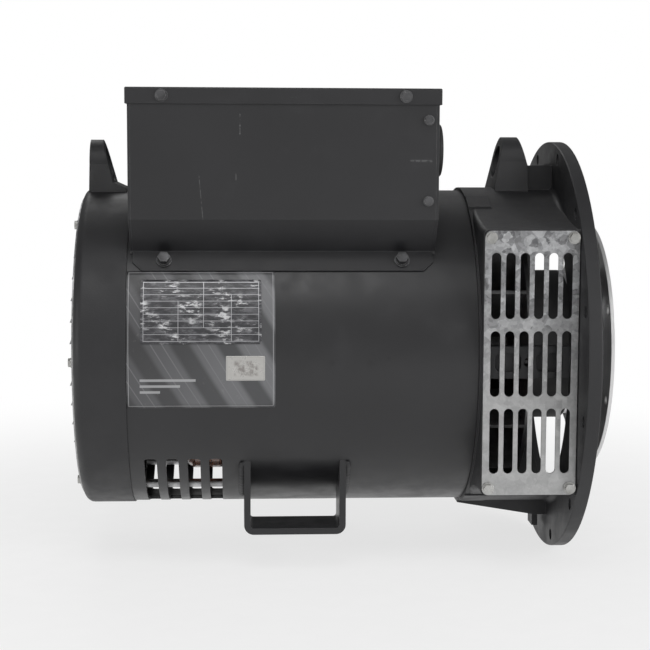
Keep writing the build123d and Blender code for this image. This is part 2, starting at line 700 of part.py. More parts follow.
def drive_bracket():
    body = bell_shell() + both_sides(window_housing()) + drive_lug() + bell_keel()
    body += four_corners(bell_ridge())
    body -= bell_cavity()
    body -= both_sides(grille_flat())
    body -= both_sides(window_cavity())
    body += both_sides(window_strut())
    rear_x = FRAME_DRIVE_X - RABBET_DEPTH
    body += four_corners(tie_boss(rear_x, rear_x + TIE_BOSS_LENGTH))
    back = -FLANGE_THICKNESS
    hole = cylinder_x(back - 1, 1, FLANGE_HOLE_R, y=FLANGE_HOLE_PCR)
    socket = cylinder_x(back - FLANGE_SOCKET_DEPTH, back, FLANGE_SOCKET_R, y=FLANGE_HOLE_PCR)
    body -= around(hole + socket, FLANGE_HOLE_COUNT, FLANGE_HOLE_START)
    body -= four_corners(tie_hole(rear_x - 1, rear_x + TIE_BOSS_LENGTH - 2))
    screw_hole = Cylinder(M5_R + SCREW_HOLE_CLEARANCE, 2 * SCREW_REACH + 1)
    holes = [facing(screw_hole, HOUSING_FACE_Y, z, x, (1, 0)) for x, z in grille_screw_places()]
    body -= [side for hole in holes for side in both_sides(hole)]
    return body


# ================================================================ outlet grilles
def side_grille():
    """The slotted plate over the +Y window."""
    slots = GridLocations(SLOT_COLUMN_PITCH, SLOT_ROW_PITCH, SLOT_COLUMNS, SLOT_ROWS)
    screws = GridLocations(GRILLE_SCREW_SPAN_X, GRILLE_SCREW_SPAN_Z, 2, 2)
    sheet = RectangleRounded(GRILLE_WIDTH, GRILLE_HEIGHT, GRILLE_CORNER_R)
    sheet -= slots * SlotOverall(SLOT_LENGTH, SLOT_WIDTH, rotation=90)
    sheet -= screws * Circle(M5_R + SCREW_HOLE_CLEARANCE)
    return extrude(Plane.XZ.offset(-HOUSING_FACE_Y) * Pos(GRILLE_X, 0) * sheet, -GRILLE_THICKNESS)


def grille_screws():
    """Hex flange screws of both side grilles."""
    screw = hex_screw(M5_R, SCREW_REACH, M5_AF, M5_FLANGE_R, M5_HEAD)
    seat = HOUSING_FACE_Y + GRILLE_THICKNESS
    placed = [facing(screw, seat, z, x, (1, 0)) for x, z in grille_screw_places()]
    return group([side for one in placed for side in both_sides(one)])


# ================================================================ non-drive-end bracket
def rear_shell():
    lip_r = REAR_OPENING_R
    bore_r = REAR_BRACKET_R - REAR_BRACKET_WALL
    outline = [
        (BRACKET_REAR_X, lip_r),
        (BRACKET_REAR_X, REAR_BRACKET_R),
        (FRAME_REAR_X, REAR_BRACKET_R),
        (FRAME_REAR_X, RABBET_R),
        (FRAME_REAR_X + RABBET_DEPTH, RABBET_R),
        (FRAME_REAR_X + RABBET_DEPTH, RABBET_R - RABBET_WALL),
        (FRAME_REAR_X, RABBET_R - RABBET_WALL),
        (FRAME_REAR_X - RABBET_DEPTH, bore_r),
        (BRACKET_REAR_X + REAR_LIP_DEPTH, bore_r),
        (BRACKET_REAR_X + REAR_LIP_DEPTH, lip_r),
    ]
    return spun(outline, [(BRACKET_REAR_X, REAR_BRACKET_R, REAR_EDGE_ROUND)])


def rear_spoke():
    """One spoke from the bearing hub to the shell, deeper at the hub."""
    reach = REAR_BRACKET_R - REAR_BRACKET_WALL
    x0 = BEARING_X0
    outline = Polygon(
        (x0, BEARING_R + HUB_WALL / 2),
        (BEARING_X1, BEARING_R + HUB_WALL / 2),
        (x0 + SPOKE_DEPTH, reach),
        (x0, reach),
        align=None,
    )
    return extrude(outline, SPOKE_THICKNESS / 2, both=True)


def exciter_post():
    """Post that carries the exciter stator from a spoke."""
    x0 = BEARING_X0 + SPOKE_DEPTH / 2
    return cylinder_x(x0, EXCITER_X0, EXCITER_POST_R, y=EXCITER_POST_PCR)


def rear_lug():
    base_z = REAR_BRACKET_R - REAR_BRACKET_WALL
    back = BRACKET_REAR_X + REAR_LUG_INSET
    front = back + REAR_LUG_THICKNESS
    side_points = [
        (back, base_z),
        (back, REAR_LUG_TOP_Z),
        (front, REAR_LUG_TOP_Z),
        (front + REAR_LUG_FRONT_SLOPE, REAR_BRACKET_R + REAR_BRACKET_WALL),
        (FRAME_REAR_X - REAR_BRACKET_WALL, REAR_BRACKET_R),
        (FRAME_REAR_X - REAR_BRACKET_WALL, base_z),
    ]
    return lug(side_points, REAR_LUG_TOP_Z, base_z, back - 1, FRAME_REAR_X)


def rear_bracket():
    """Cast bracket: shell, spokes, bearing hub, lug and bosses."""
    hub = cylinder_x(BEARING_X0 - 2, BEARING_X1 + 3, HUB_OUTER_R)
    body = rear_shell() + around(rear_spoke(), SPOKE_COUNT) + hub + rear_lug()
    body += around(exciter_post(), SPOKE_COUNT)
    rear_boss = tie_boss(BRACKET_REAR_X + TIE_SEAT_DEPTH, FRAME_REAR_X + RABBET_DEPTH)
    body += four_corners(rear_boss)
    body -= four_corners(tie_hole(BRACKET_REAR_X, FRAME_REAR_X + RABBET_DEPTH + 1))
    body -= cylinder_x(BEARING_X0 - 3, BEARING_X1, BEARING_R + SEAT_CLEARANCE)
    body -= cylinder_x(BEARING_X1 - 1, BEARING_X1 + 4, BEARING_R - RACE_LAND)
    screw_hole = cylinder_x(
        BRACKET_REAR_X - 1,
        BRACKET_REAR_X + SCREW_REACH + 1,
        SMALL_SCREW_R + SCREW_HOLE_CLEARANCE,
        y=REAR_SCREW_PCR,
    )
    return body - around(screw_hole, REAR_SCREW_COUNT)


# ================================================================ rear louvred grille
def louvre_rows():
    """Height and half length of every louvre."""
    heights = [LOUVRE_PITCH * (i - (LOUVRE_ROWS - 1) / 2) for i in range(LOUVRE_ROWS)]
    reach = REAR_GRILLE_R - LOUVRE_RIM
    return [(z, sqrt(reach**2 - (abs(z) + LOUVRE_OPENING) ** 2)) for z in heights]


def louvre_section(z, outer):
    """Half-round hood section of a louvre, open towards the bottom."""
    back = BRACKET_REAR_X - REAR_GRILLE_THICKNESS
    proud = LOUVRE_PROUD + (0 if outer else -REAR_GRILLE_THICKNESS)
    top = z + LOUVRE_OPENING / 2 + (REAR_GRILLE_THICKNESS if outer else 0)
    bottom = z - LOUVRE_OPENING / 2
    start = (back + REAR_GRILLE_THICKNESS, top)
    return Polygon(start, (back, top), (back - proud, bottom), (start[0], bottom), align=None)


def rear_grille():
    """Round sheet with horizontal louvres pressed out of it."""
    face_x = BRACKET_REAR_X - REAR_GRILLE_THICKNESS
    sheet = cylinder_x(face_x, BRACKET_REAR_X, REAR_GRILLE_R)
    hoods = []
    throats = []
    for z, reach in louvre_rows():
        length = reach - LOUVRE_MID_GAP / 2
        for side in (-1, 1):
            plane = Plane.XZ.offset(-side * (LOUVRE_MID_GAP / 2 + length / 2))
            hoods.append(extrude(plane * louvre_section(z, True), length / 2, both=True))
            throats.append(extrude(plane * louvre_section(z, False), length / 2 - SHEET, both=True))
    sheet = sheet + hoods - throats
    hole = cylinder_x(face_x - 1, BRACKET_REAR_X + 1, SMALL_SCREW_R + SCREW_HOLE_CLEARANCE, y=REAR_SCREW_PCR)
    return sheet - around(hole, REAR_SCREW_COUNT)


def rear_grille_screws():
    screw = hex_screw(SMALL_SCREW_R, SCREW_REACH, SMALL_SCREW_AF, SMALL_SCREW_FLANGE_R, SMALL_SCREW_HEAD)
    face_x = BRACKET_REAR_X - REAR_GRILLE_THICKNESS
    placed = Pos(face_x, REAR_SCREW_PCR, 0) * Rot(Y=-90) * screw
    return group(around(placed, REAR_SCREW_COUNT))


# ================================================================ stator pack and tie rods
def core_slot(radial_start, radial_end, width, x0, x1):
    return block(x0, x1, radial_start, radial_end, -width / 2, width / 2)


def stator_core():
    pack = ring(CORE_REAR_X, CORE_DRIVE_X, CORE_R, CORE_BORE_R)
    slot = core_slot(
        CORE_BORE_R - 1, CORE_BORE_R + CORE_SLOT_DEPTH, CORE_SLOT_WIDTH, CORE_REAR_X - 1, CORE_DRIVE_X + 1
    )
    return pack - around(slot, CORE_SLOTS)


def end_winding(x0, x1):
    outline = Pos((x0 + x1) / 2, (WINDING_INNER_R + WINDING_OUTER_R) / 2) * RectangleRounded(
        x1 - x0, WINDING_OUTER_R - WINDING_INNER_R, WINDING_ROUND
    )
    return revolve(outline, Axis.X)


def stator_winding():
    """Coil sides in the slots, joined by the end turns beyond both ends of the pack."""
    gap = WINDING_CLEARANCE
    drive_x = CORE_DRIVE_X + gap
    rear_x = CORE_REAR_X - gap
    side = core_slot(
        CORE_BORE_R + 2,
        CORE_BORE_R + CORE_SLOT_DEPTH - gap,
        CORE_SLOT_WIDTH - 2 * gap,
        rear_x - WINDING_ROUND,
        drive_x + WINDING_ROUND,
    )
    turns = end_winding(rear_x - WINDING_OVERHANG, rear_x) + end_winding(drive_x, drive_x + WINDING_OVERHANG)
    return turns + around(side, CORE_SLOTS)


def tie_rods():
    """Four rods that clamp both brackets to the frame, with a nut at the rear."""
    y, z = polar(TIE_ROD_PCR, TIE_ROD_ANGLE)
    seat_x = BRACKET_REAR_X + TIE_SEAT_DEPTH
    drive_end = FRAME_DRIVE_X - RABBET_DEPTH + TIE_BOSS_LENGTH - 3
    rod = cylinder_x(seat_x - NUT_HEIGHT / 2 - 1, drive_end, TIE_ROD_R, y, z)
    nut = Plane.YZ.offset(seat_x - NUT_HEIGHT) * Pos(y, z) * RegularPolygon(NUT_AF / sqrt(3), 6)
    return group(four_corners(rod + extrude(nut, NUT_HEIGHT)))


# ================================================================ bearing
def ball_groove():
    return Rot(Y=90) * Torus(BALL_CIRCLE_R, BALL_R)


def bearing_outer_race():
    body = ring(BEARING_X0, BEARING_X1, BEARING_R, BALL_CIRCLE_R + BALL_R - RACE_LAND)
    return body - Pos(BEARING_MID_X, 0, 0) * ball_groove()


def bearing_inner_race():
    body = ring(BEARING_X0, BEARING_X1, BALL_CIRCLE_R - BALL_R + RACE_LAND, BEARING_BORE_R)
    return body - Pos(BEARING_MID_X, 0, 0) * ball_groove()


def ball(radius):
    return Pos(BEARING_MID_X, BALL_CIRCLE_R, 0) * Sphere(radius)


def bearing_balls():
    return group(around(ball(BALL_R - BALL_CLEARANCE), BALL_COUNT))


def bearing_cage():
    half = CAGE_THICKNESS / 2
    x0 = BEARING_MID_X - CAGE_WIDTH / 2
    body = ring(x0, x0 + CAGE_WIDTH, BALL_CIRCLE_R + half, BALL_CIRCLE_R - half)
    return body - around(ball(BALL_R), BALL_COUNT)


# ================================================================ shaft and rotor
def shaft():
    rear_x = BRACKET_REAR_X + SHAFT_REAR_INSET
    seat_r = BEARING_BORE_R - SEAT_CLEARANCE
    outline = [
        (rear_x, 0),
        (rear_x, seat_r),
        (BEARING_X1, seat_r),
        (BEARING_X1, EXCITER_SEAT_R - SEAT_CLEARANCE),
        (EXCITER_X1 + RECTIFIER_GAP + RECTIFIER_THICKNESS + DIODE_HEIGHT, EXCITER_SEAT_R - SEAT_CLEARANCE),
        (EXCITER_X1 + RECTIFIER_GAP + RECTIFIER_THICKNESS + DIODE_HEIGHT, ROTOR_SEAT_R - SEAT_CLEARANCE),
        (HUB_X0, ROTOR_SEAT_R - SEAT_CLEARANCE),
        (HUB_X0, HUB_SEAT_R - SEAT_CLEARANCE),
        (SHAFT_FRONT_X, HUB_SEAT_R - SEAT_CLEARANCE),
        (SHAFT_FRONT_X, 0),
    ]
    rounds = [(rear_x, seat_r, 1.5), (SHAFT_FRONT_X, HUB_SEAT_R - SEAT_CLEARANCE, 1.5)]
    return spun(outline, rounds)


def rotor_core():
    """Four salient poles with shoes on a square yoke."""
    half = POLE_WIDTH / 2
    shoe_floor = ROTOR_R - POLE_SHOE_HEIGHT
    opening = POLE_SHOE_GAP / 2
    section = Circle(ROTOR_R)
    recess = Polygon(
        (YOKE_R, half), (shoe_floor, half), (shoe_floor, shoe_floor), (half, shoe_floor), (half, YOKE_R),
        (YOKE_R, YOKE_R), align=None,
    )
    mouth = Rot(Z=45) * Pos(ROTOR_R - POLE_SHOE_HEIGHT, 0) * Rectangle(4 * POLE_SHOE_HEIGHT, 2 * opening)
    for quarter in range(4):
        section -= Rot(Z=90 * quarter) * (recess + mouth)
    section -= Circle(ROTOR_SEAT_R)
    return extrude(Plane.YZ.offset(CORE_REAR_X) * section, CORE_LENGTH)


def rotor_winding():
    """One field coil round each pole."""
    gap = WINDING_CLEARANCE
    half = POLE_WIDTH / 2 + gap
    outer = half + COIL_THICKNESS
    low = YOKE_R + gap
    high = ROTOR_R - POLE_SHOE_HEIGHT - gap
    end = COIL_END_CLEARANCE + COIL_THICKNESS
    coil = block(CORE_REAR_X - end, CORE_DRIVE_X + end, -outer, outer, low, high)
    inside = COIL_END_CLEARANCE
    coil -= block(CORE_REAR_X - inside, CORE_DRIVE_X + inside, -half, half, low - 1, high + 1)
    uprights = coil.edges().filter_by(Axis.Z).group_by(lambda edge: abs(edge.center().Y))[-1]
    coil = fillet(uprights, COIL_THICKNESS - 2)
    return group(around(coil, 4))


def coil_supports():
    """Insulated blocks on the yoke ends that the coils' end turns rest on."""
    height = YOKE_R - ROTOR_SEAT_R
    reach = COIL_END_CLEARANCE + COIL_THICKNESS
    both_ends = []
    for x0, x1 in ((CORE_REAR_X - reach, CORE_REAR_X), (CORE_DRIVE_X, CORE_DRIVE_X + reach)):
        square = RectangleRounded(2 * YOKE_R, 2 * YOKE_R, height) - Circle(ROTOR_SEAT_R)
        both_ends.append(extrude(Plane.YZ.offset(x0) * square, x1 - x0))
    return group(both_ends)


# ================================================================ exciter and rectifier
def exciter_stator():
    """Ring with inward poles, carried on the bracket's posts."""
    yoke_inner = EXCITER_R - EXCITER_YOKE
    body = ring(EXCITER_X0, EXCITER_X1, EXCITER_R, yoke_inner)
    half = EXCITER_POLE_WIDTH / 2
    pole = block(EXCITER_X0, EXCITER_X1, EXCITER_BORE_R - 4, yoke_inner + 4, -half, half)
    bore = cylinder_x(EXCITER_X0 - 1, EXCITER_X1 + 1, EXCITER_BORE_R)
    return body + around(pole, EXCITER_POLES) - bore


def exciter_coils():
    gap = WINDING_CLEARANCE
    half = EXCITER_POLE_WIDTH / 2 + gap
    outer = half + EXCITER_COIL_THICKNESS
    low = EXCITER_BORE_R + 6
    high = EXCITER_R - EXCITER_YOKE - 5
    end = EXCITER_COIL_THICKNESS + gap
    coil = block(EXCITER_X0 - end, EXCITER_X1 + end, low, high, -outer, outer)
    coil -= block(EXCITER_X0 - gap, EXCITER_X1 + gap, low - 1, high + 1, -half, half)
    return group(around(coil, EXCITER_POLES))


def exciter_rotor():
    """Armature with its winding, a rounded drum on the shaft."""
    outer = EXCITER_BORE_R - EXCITER_GAP
    overhang = EXCITER_COIL_THICKNESS
    drum = ring(EXCITER_X0, EXCITER_X1, outer, EXCITER_SEAT_R)
    turns = ring(EXCITER_X0 - overhang, EXCITER_X1 + overhang, outer - 6, EXCITER_SEAT_R + 12)
    slot = block(EXCITER_X0 - 1, EXCITER_X1 + 1, outer - 4, outer + 1, -2, 2)
    return drum - around(slot, 24) + turns


def rectifier_plate():
    x0 = EXCITER_X1 + RECTIFIER_GAP
    body = ring(x0, x0 + RECTIFIER_THICKNESS, RECTIFIER_R, EXCITER_SEAT_R)
    return body - around(rectifier_stud(x0 - 1, x0 + RECTIFIER_THICKNESS + 1, 0), DIODE_COUNT)


def rectifier_stud(x0, x1, clearance):
    return cylinder_x(x0, x1, DIODE_R / 2 - clearance, y=DIODE_PCR)


def rectifier_diodes():
    x0 = EXCITER_X1 + RECTIFIER_GAP
    top = x0 + RECTIFIER_THICKNESS
    case = cylinder_x(top, top + DIODE_HEIGHT, DIODE_R, y=DIODE_PCR)
    stud = rectifier_stud(x0 - 3, top, SEAT_CLEARANCE)
    return group(around(case + stud, DIODE_COUNT))


# ================================================================ fan and coupling
def fan_blade():
    """One flat blade, leaning back from the radius, cut to the fan's outer circle."""
    length = FAN_R * 1.2 - FAN_BLADE_INNER_R
    half = FAN_BLADE_THICKNESS / 2
    blade = block(FAN_X0, FAN_X1 - FAN_PLATE_THICKNESS / 2, 0, length, -half, half)
    blade = Pos(0, FAN_BLADE_INNER_R, 0) * Rot(X=-FAN_BLADE_LEAN) * blade
    return blade & cylinder_x(FAN_X0, FAN_X1, FAN_R - FAN_BLADE_INSET)


def cooling_fan():
    """Radial fan: back plate, hub and blades in one casting."""
    plate_x = FAN_X1 - FAN_PLATE_THICKNESS
    hub_r = ROTOR_SEAT_R + FAN_HUB_WALL
    hub_x = FAN_X1 - FAN_HUB_LENGTH
    outline = [
        (hub_x, ROTOR_SEAT_R),
        (hub_x, hub_r),
        (plate_x, hub_r),
        (plate_x, FAN_R),
        (FAN_X1, FAN_R),
        (FAN_X1, ROTOR_SEAT_R),
    ]
    return spun(outline, [(plate_x, hub_r, FAN_HUB_WALL / 2)]) + around(fan_blade(), FAN_BLADE_COUNT)


def coupling_hub():
    flange_x = DISC_X0 - HUB_FLANGE_THICKNESS
    drum_x = HUB_X0 + HUB_DRUM_LENGTH
    outline = [
        (HUB_X0, HUB_SEAT_R),
        (HUB_X0, HUB_DRUM_R),
        (drum_x, HUB_DRUM_R),
        (drum_x, HUB_WAIST_R),
        (flange_x, HUB_WAIST_R),
        (flange_x, HUB_FLANGE_R),
        (DISC_X0, HUB_FLANGE_R),
        (DISC_X0, HUB_SEAT_R),
    ]
    rounds = [
        (flange_x, HUB_WAIST_R, HUB_WAIST_ROUND),
        (flange_x, HUB_FLANGE_R, HUB_EDGE_ROUND),
        (HUB_X0, HUB_DRUM_R, HUB_EDGE_ROUND),
        (drum_x, HUB_DRUM_R, HUB_EDGE_ROUND),
    ]
    return spun(outline, rounds) - clamp_holes(flange_x - 1, DISC_X0 + 1)


def clamp_holes(x0, x1):
    hole = cylinder_x(x0, x1, CLAMP_BOLT_R + SCREW_HOLE_CLEARANCE, y=CLAMP_BOLT_PCR)
    return around(hole, CLAMP_BOLT_COUNT)


def coupling_discs():
    """The laminated spring-steel disc pack that drives the rotor."""
    pack = ring(DISC_X0, DISC_FACE_X, DISC_R, DISC_BORE_R)
    hole = cylinder_x(DISC_X0 - 1, DISC_FACE_X + 1, DISC_HOLE_R, y=DISC_HOLE_PCR)
    pack -= around(hole, DISC_HOLE_COUNT, 180 / DISC_HOLE_COUNT)
    return pack - clamp_holes(DISC_X0 - 1, DISC_FACE_X + 1)


def clamp_ring():
    x1 = DISC_FACE_X + CLAMP_THICKNESS
    return ring(DISC_FACE_X, x1, CLAMP_R, DISC_BORE_R) - clamp_holes(DISC_FACE_X - 1, x1 + 1)


def clamp_bolts():
    seat = DISC_FACE_X + CLAMP_THICKNESS
    bolt = cylinder_x(seat - CLAMP_BOLT_REACH, seat, CLAMP_BOLT_R, y=CLAMP_BOLT_PCR)
    outline = Plane.YZ.offset(seat) * Pos(CLAMP_BOLT_PCR, 0) * RegularPolygon(CLAMP_BOLT_AF / sqrt(3), 6)
    return group(around(bolt + extrude(outline, CLAMP_BOLT_HEAD), CLAMP_BOLT_COUNT))


# ================================================================ terminal box
def foot_bolt_xs():
    inset = FOOT_CORNER_CUT + 2 * M6_FLANGE_R + BOLT_CORNER_GAP
    return [BOX_REAR_X + inset, BOX_DRIVE_X - inset]


def box_side_points():
    """Outer line of the +Y side sheet, from the foot's lower edge up to the top edge."""
    top_y, top_z = polar(FRAME_R + SHEET, FOOT_TANGENT_ANGLE)
    run = FOOT_LENGTH / 2
    a = radians(FOOT_TANGENT_ANGLE)
    low = (top_y + run * sin(a), top_z - run * cos(a))
    high = (top_y - run * sin(a), top_z + run * cos(a))
    return [low, high, (BOX_HALF_WIDTH, BOX_KINK_Z), (BOX_HALF_WIDTH, BOX_TOP_Z)]


def box_side():
    """The +Y side sheet: upright panel, panel that slopes in, and foot flange."""
    outline = Polygon(*strip_outline(box_side_points(), SHEET), align=None)
    return extrude(Plane.YZ.offset(BOX_REAR_X + END_SHEET) * outline, BOX_LENGTH - 2 * END_SHEET)


def box_sides():
    side = box_side()
    low_y, low_z = box_side_points()[0]
    cut = FOOT_CORNER_CUT
    for x in (BOX_REAR_X + END_SHEET, BOX_DRIVE_X - END_SHEET):
        corner = Pos(x, 0, 0) * Rot(Z=45) * Box(cut * sqrt(2), cut * sqrt(2), 4 * SHEET)
        side -= facing(corner, low_y, low_z, 0, polar(1, FOOT_TANGENT_ANGLE))
    hole = Cylinder(M6_R + SCREW_HOLE_CLEARANCE, 4 * SHEET)
    y, z = polar(FRAME_R + SHEET / 2, FOOT_TANGENT_ANGLE)
    for x in foot_bolt_xs():
        side -= facing(hole, y, z, x, (y, z))
    for x, z in panel_screw_places():
        side -= panel_hole(SMALL_SCREW_R, x, z)
    for x in lid_screw_xs():
        side -= panel_hole(M5_R, x, LID_SCREW_Z)
    return group(both_sides(side))


def panel_hole(screw_r, x, z):
    """Cutter for a screw hole through the +Y side of the box."""
    return facing(Cylinder(screw_r + SCREW_HOLE_CLEARANCE, 8 * SHEET), BOX_HALF_WIDTH, z, x, (1, 0))


def panel_screw_places():
    """The screws of the drive-side end sheet, as (x, z); the rear one is spot-welded."""
    return [(BOX_DRIVE_X - END_SHEET - PANEL_SCREW_INSET, z) for z in PANEL_SCREW_ZS]


def box_end(x0, inward):
    """End sheet standing on the frame, with return flanges behind the side sheets."""
    _, high, kink, top = box_side_points()
    half = [(0, 0), (high[0], 0), high, kink, top, (0, top[1])]
    plate = extrude(Plane.YZ.offset(x0) * Polygon(*half, align=None), END_SHEET)
    plate += mirror(plate, about=Plane.XZ)
    inner_y = BOX_HALF_WIDTH - SHEET
    x1 = x0 + END_SHEET if inward > 0 else x0 - END_RETURN
    back = block(x1, x1 + END_RETURN, inner_y - SHEET, inner_y, BOX_KINK_Z + SHEET, BOX_TOP_Z)
    for x, z in panel_screw_places():
        back -= panel_hole(SMALL_SCREW_R, x, z)
    drum = cylinder_x(x0 - END_RETURN - 1, x0 + END_RETURN + END_SHEET + 1, FRAME_R + SEAT_CLEARANCE)
    return plate + both_sides(back) - drum


def box_end_rear():
    return box_end(BOX_REAR_X, 1)


def box_end_drive():
    inner_x = BOX_DRIVE_X - END_SHEET
    hole = cylinder_x(inner_x - 1, BOX_DRIVE_X + 1, PLUG_STEM_R + PLUG_CLEARANCE, PLUG_Y, PLUG_Z)
    return box_end(inner_x, -1) - hole


def box_lid():
    """Folded lid with a skirt all round."""
    over = LID_OVERHANG + LID_THICKNESS
    half_y = BOX_HALF_WIDTH + over
    bottom = LID_TOP_Z - LID_SKIRT
    lid = block(BOX_REAR_X - over, BOX_DRIVE_X + over, -half_y, half_y, bottom, LID_TOP_Z)
    top_edges = lid.faces().sort_by(Axis.Z)[-1].edges()
    lid = fillet(top_edges, LID_ROUND)
    gap = LID_OVERHANG
    inner_y = BOX_HALF_WIDTH + gap
    inside_top = max(LID_TOP_Z - LID_THICKNESS, BOX_TOP_Z)
    lid -= block(BOX_REAR_X - gap, BOX_DRIVE_X + gap, -inner_y, inner_y, bottom - 1, inside_top)
    for x in lid_screw_xs():
        lid -= both_sides(panel_hole(M5_R, x, LID_SCREW_Z))
    return lid


def lid_screw_xs():
    return [BOX_X - LID_SCREW_SPAN / 2, BOX_X + LID_SCREW_SPAN / 2]


def lid_screws():
    screw = hex_screw(M5_R, SHEET + 5, M5_AF, M5_FLANGE_R, M5_HEAD - 1)
    y = BOX_HALF_WIDTH + LID_OVERHANG + LID_THICKNESS
    placed = [facing(screw, y, LID_SCREW_Z, x, (1, 0)) for x in lid_screw_xs()]
    return group([side for one in placed for side in both_sides(one)])


def panel_screws():
    screw = hex_screw(SMALL_SCREW_R, 2 * SHEET + 2, SMALL_SCREW_AF, SMALL_SCREW_FLANGE_R, SMALL_SCREW_HEAD)
    placed = [facing(screw, BOX_HALF_WIDTH, z, x, (1, 0)) for x, z in panel_screw_places()]
    return group([side for one in placed for side in both_sides(one)])


def foot_bolts():
    """Hex bolts with washers that hold the box's foot flanges to the frame."""
    bolt = Pos(0, 0, WASHER_THICKNESS) * hex_screw(M6_R, SCREW_REACH + 4, M6_AF, M6_AF / 2, M6_HEAD)
    bolt += Pos(0, 0, WASHER_THICKNESS / 2) * Cylinder(M6_FLANGE_R, WASHER_THICKNESS)
    y, z = polar(FRAME_R + SHEET, FOOT_TANGENT_ANGLE)
    placed = [facing(bolt, y, z, x, (y, z)) for x in foot_bolt_xs()]
    return group([side for one in placed for side in both_sides(one)])


def cable_plug():
    """Blanking plug in the cable hole of the drive-side end sheet."""
    cap = cylinder_x(BOX_DRIVE_X, BOX_DRIVE_X + PLUG_PROUD, PLUG_R, PLUG_Y, PLUG_Z)
    rim = cap.edges().sort_by(Axis.X)[-1]
    stem_x = BOX_DRIVE_X - END_SHEET - 4
    return fillet(rim, PLUG_ROUND) + cylinder_x(stem_x, BOX_DRIVE_X, PLUG_STEM_R, PLUG_Y, PLUG_Z)


# ================================================================ inside the terminal box
def equipment_tray():
    """Shelf across the box that carries the terminal board and the regulator."""
    x0 = BOX_REAR_X + END_SHEET
    x1 = BOX_DRIVE_X - END_SHEET
    half = TRAY_HALF_WIDTH
    shelf = block(x0, x1, -half, half, TRAY_Z - SHEET, TRAY_Z)
    leg = block(x0, x0 + SHEET, -half, half, TRAY_Z - TRAY_LEG, TRAY_Z)
    shelf += [leg, Pos(x1 - x0 - SHEET, 0, 0) * leg]
    lead_x = FRAME_REAR_X + LEAD_HOLE_INSET
    hole = Pos(lead_x, 0) * RectangleRounded(LEAD_HOLE_LENGTH, LEAD_HOLE_WIDTH / 2, AIR_SLOT_ROUND)
    return shelf - extrude(Plane.XY.offset(TRAY_Z - 2 * SHEET) * hole, 3 * SHEET)


def terminal_board():
    slab = Box(BOARD_LENGTH, BOARD_WIDTH, BOARD_THICKNESS)
    board = Pos(BOX_X, BOARD_Y, TRAY_Z + BOARD_THICKNESS / 2) * slab
    ribs = GridLocations(BOARD_STUD_PITCH_X, 0, BOARD_STUD_COLUMNS - 1, 1)
    barrier = Pos(BOX_X, BOARD_Y, TRAY_Z + BOARD_THICKNESS) * ribs * Box(3, BOARD_WIDTH, BOARD_THICKNESS)
    return board + barrier


def terminal_studs():
    """Studs with nuts in two rows on the board."""
    places = GridLocations(BOARD_STUD_PITCH_X, BOARD_STUD_PITCH_Y, BOARD_STUD_COLUMNS, 2)
    top = TRAY_Z + BOARD_THICKNESS
    stud = Pos(0, 0, BOARD_STUD_HEIGHT / 2) * Cylinder(BOARD_STUD_R, BOARD_STUD_HEIGHT)
    stud += extrude(RegularPolygon(NUT_AF / sqrt(3), 6), NUT_HEIGHT)
    return group([Pos(BOX_X, BOARD_Y, top) * place * stud for place in places])


def regulator_case():
    """Voltage regulator: a potting tray with four trimmer wells in its top."""
    body = Pos(BOX_X, REGULATOR_Y, TRAY_Z + REGULATOR_HEIGHT / 2) * Box(
        REGULATOR_LENGTH, REGULATOR_WIDTH, REGULATOR_HEIGHT
    )
    body = fillet(body.edges().filter_by(Axis.Z), REGULATOR_ROUND)
    top = TRAY_Z + REGULATOR_HEIGHT
    rim = RectangleRounded(
        REGULATOR_LENGTH - 2 * REGULATOR_WALL, REGULATOR_WIDTH - 2 * REGULATOR_WALL, REGULATOR_ROUND / 2
    )
    body -= extrude(Plane.XY.offset(top - 2) * Pos(BOX_X, REGULATOR_Y) * rim, 3)
    depth = TRIMMER_HEIGHT - TRIMMER_PROUD
    well = Cylinder(TRIMMER_R + TRIMMER_CLEARANCE, 2 * depth)
    return body - [Pos(x, trimmer_y(), top - 2) * well for x in trimmer_xs()]


def trimmer_xs():
    span = TRIMMER_PITCH * (TRIMMER_COUNT - 1)
    return [BOX_X - span / 2 + TRIMMER_PITCH * i for i in range(TRIMMER_COUNT)]


def trimmer_y():
    return REGULATOR_Y - REGULATOR_WIDTH / 2 + REGULATOR_WALL + 3 * TRIMMER_R


def trimmer(x):
    """One adjusting screw of the regulator, standing in its well."""
    floor = TRAY_Z + REGULATOR_HEIGHT - 2 - (TRIMMER_HEIGHT - TRIMMER_PROUD)
    body = Pos(0, 0, TRIMMER_HEIGHT / 2) * Cylinder(TRIMMER_R, TRIMMER_HEIGHT)
    body -= Pos(0, 0, TRIMMER_HEIGHT) * Box(3 * TRIMMER_R, TRIMMER_SLOT_WIDTH, 2 * TRIMMER_SLOT_DEPTH)
    return Pos(x, trimmer_y(), floor + TRIMMER_CLEARANCE) * body


# ================================================================ write every node
def near_and_far(name, shape):
    """A pair of nodes: the +Y piece is the far one and its mirror image the near one."""
    return {name + "_far": shape, name + "_near": mirror(shape, about=Plane.XZ)}


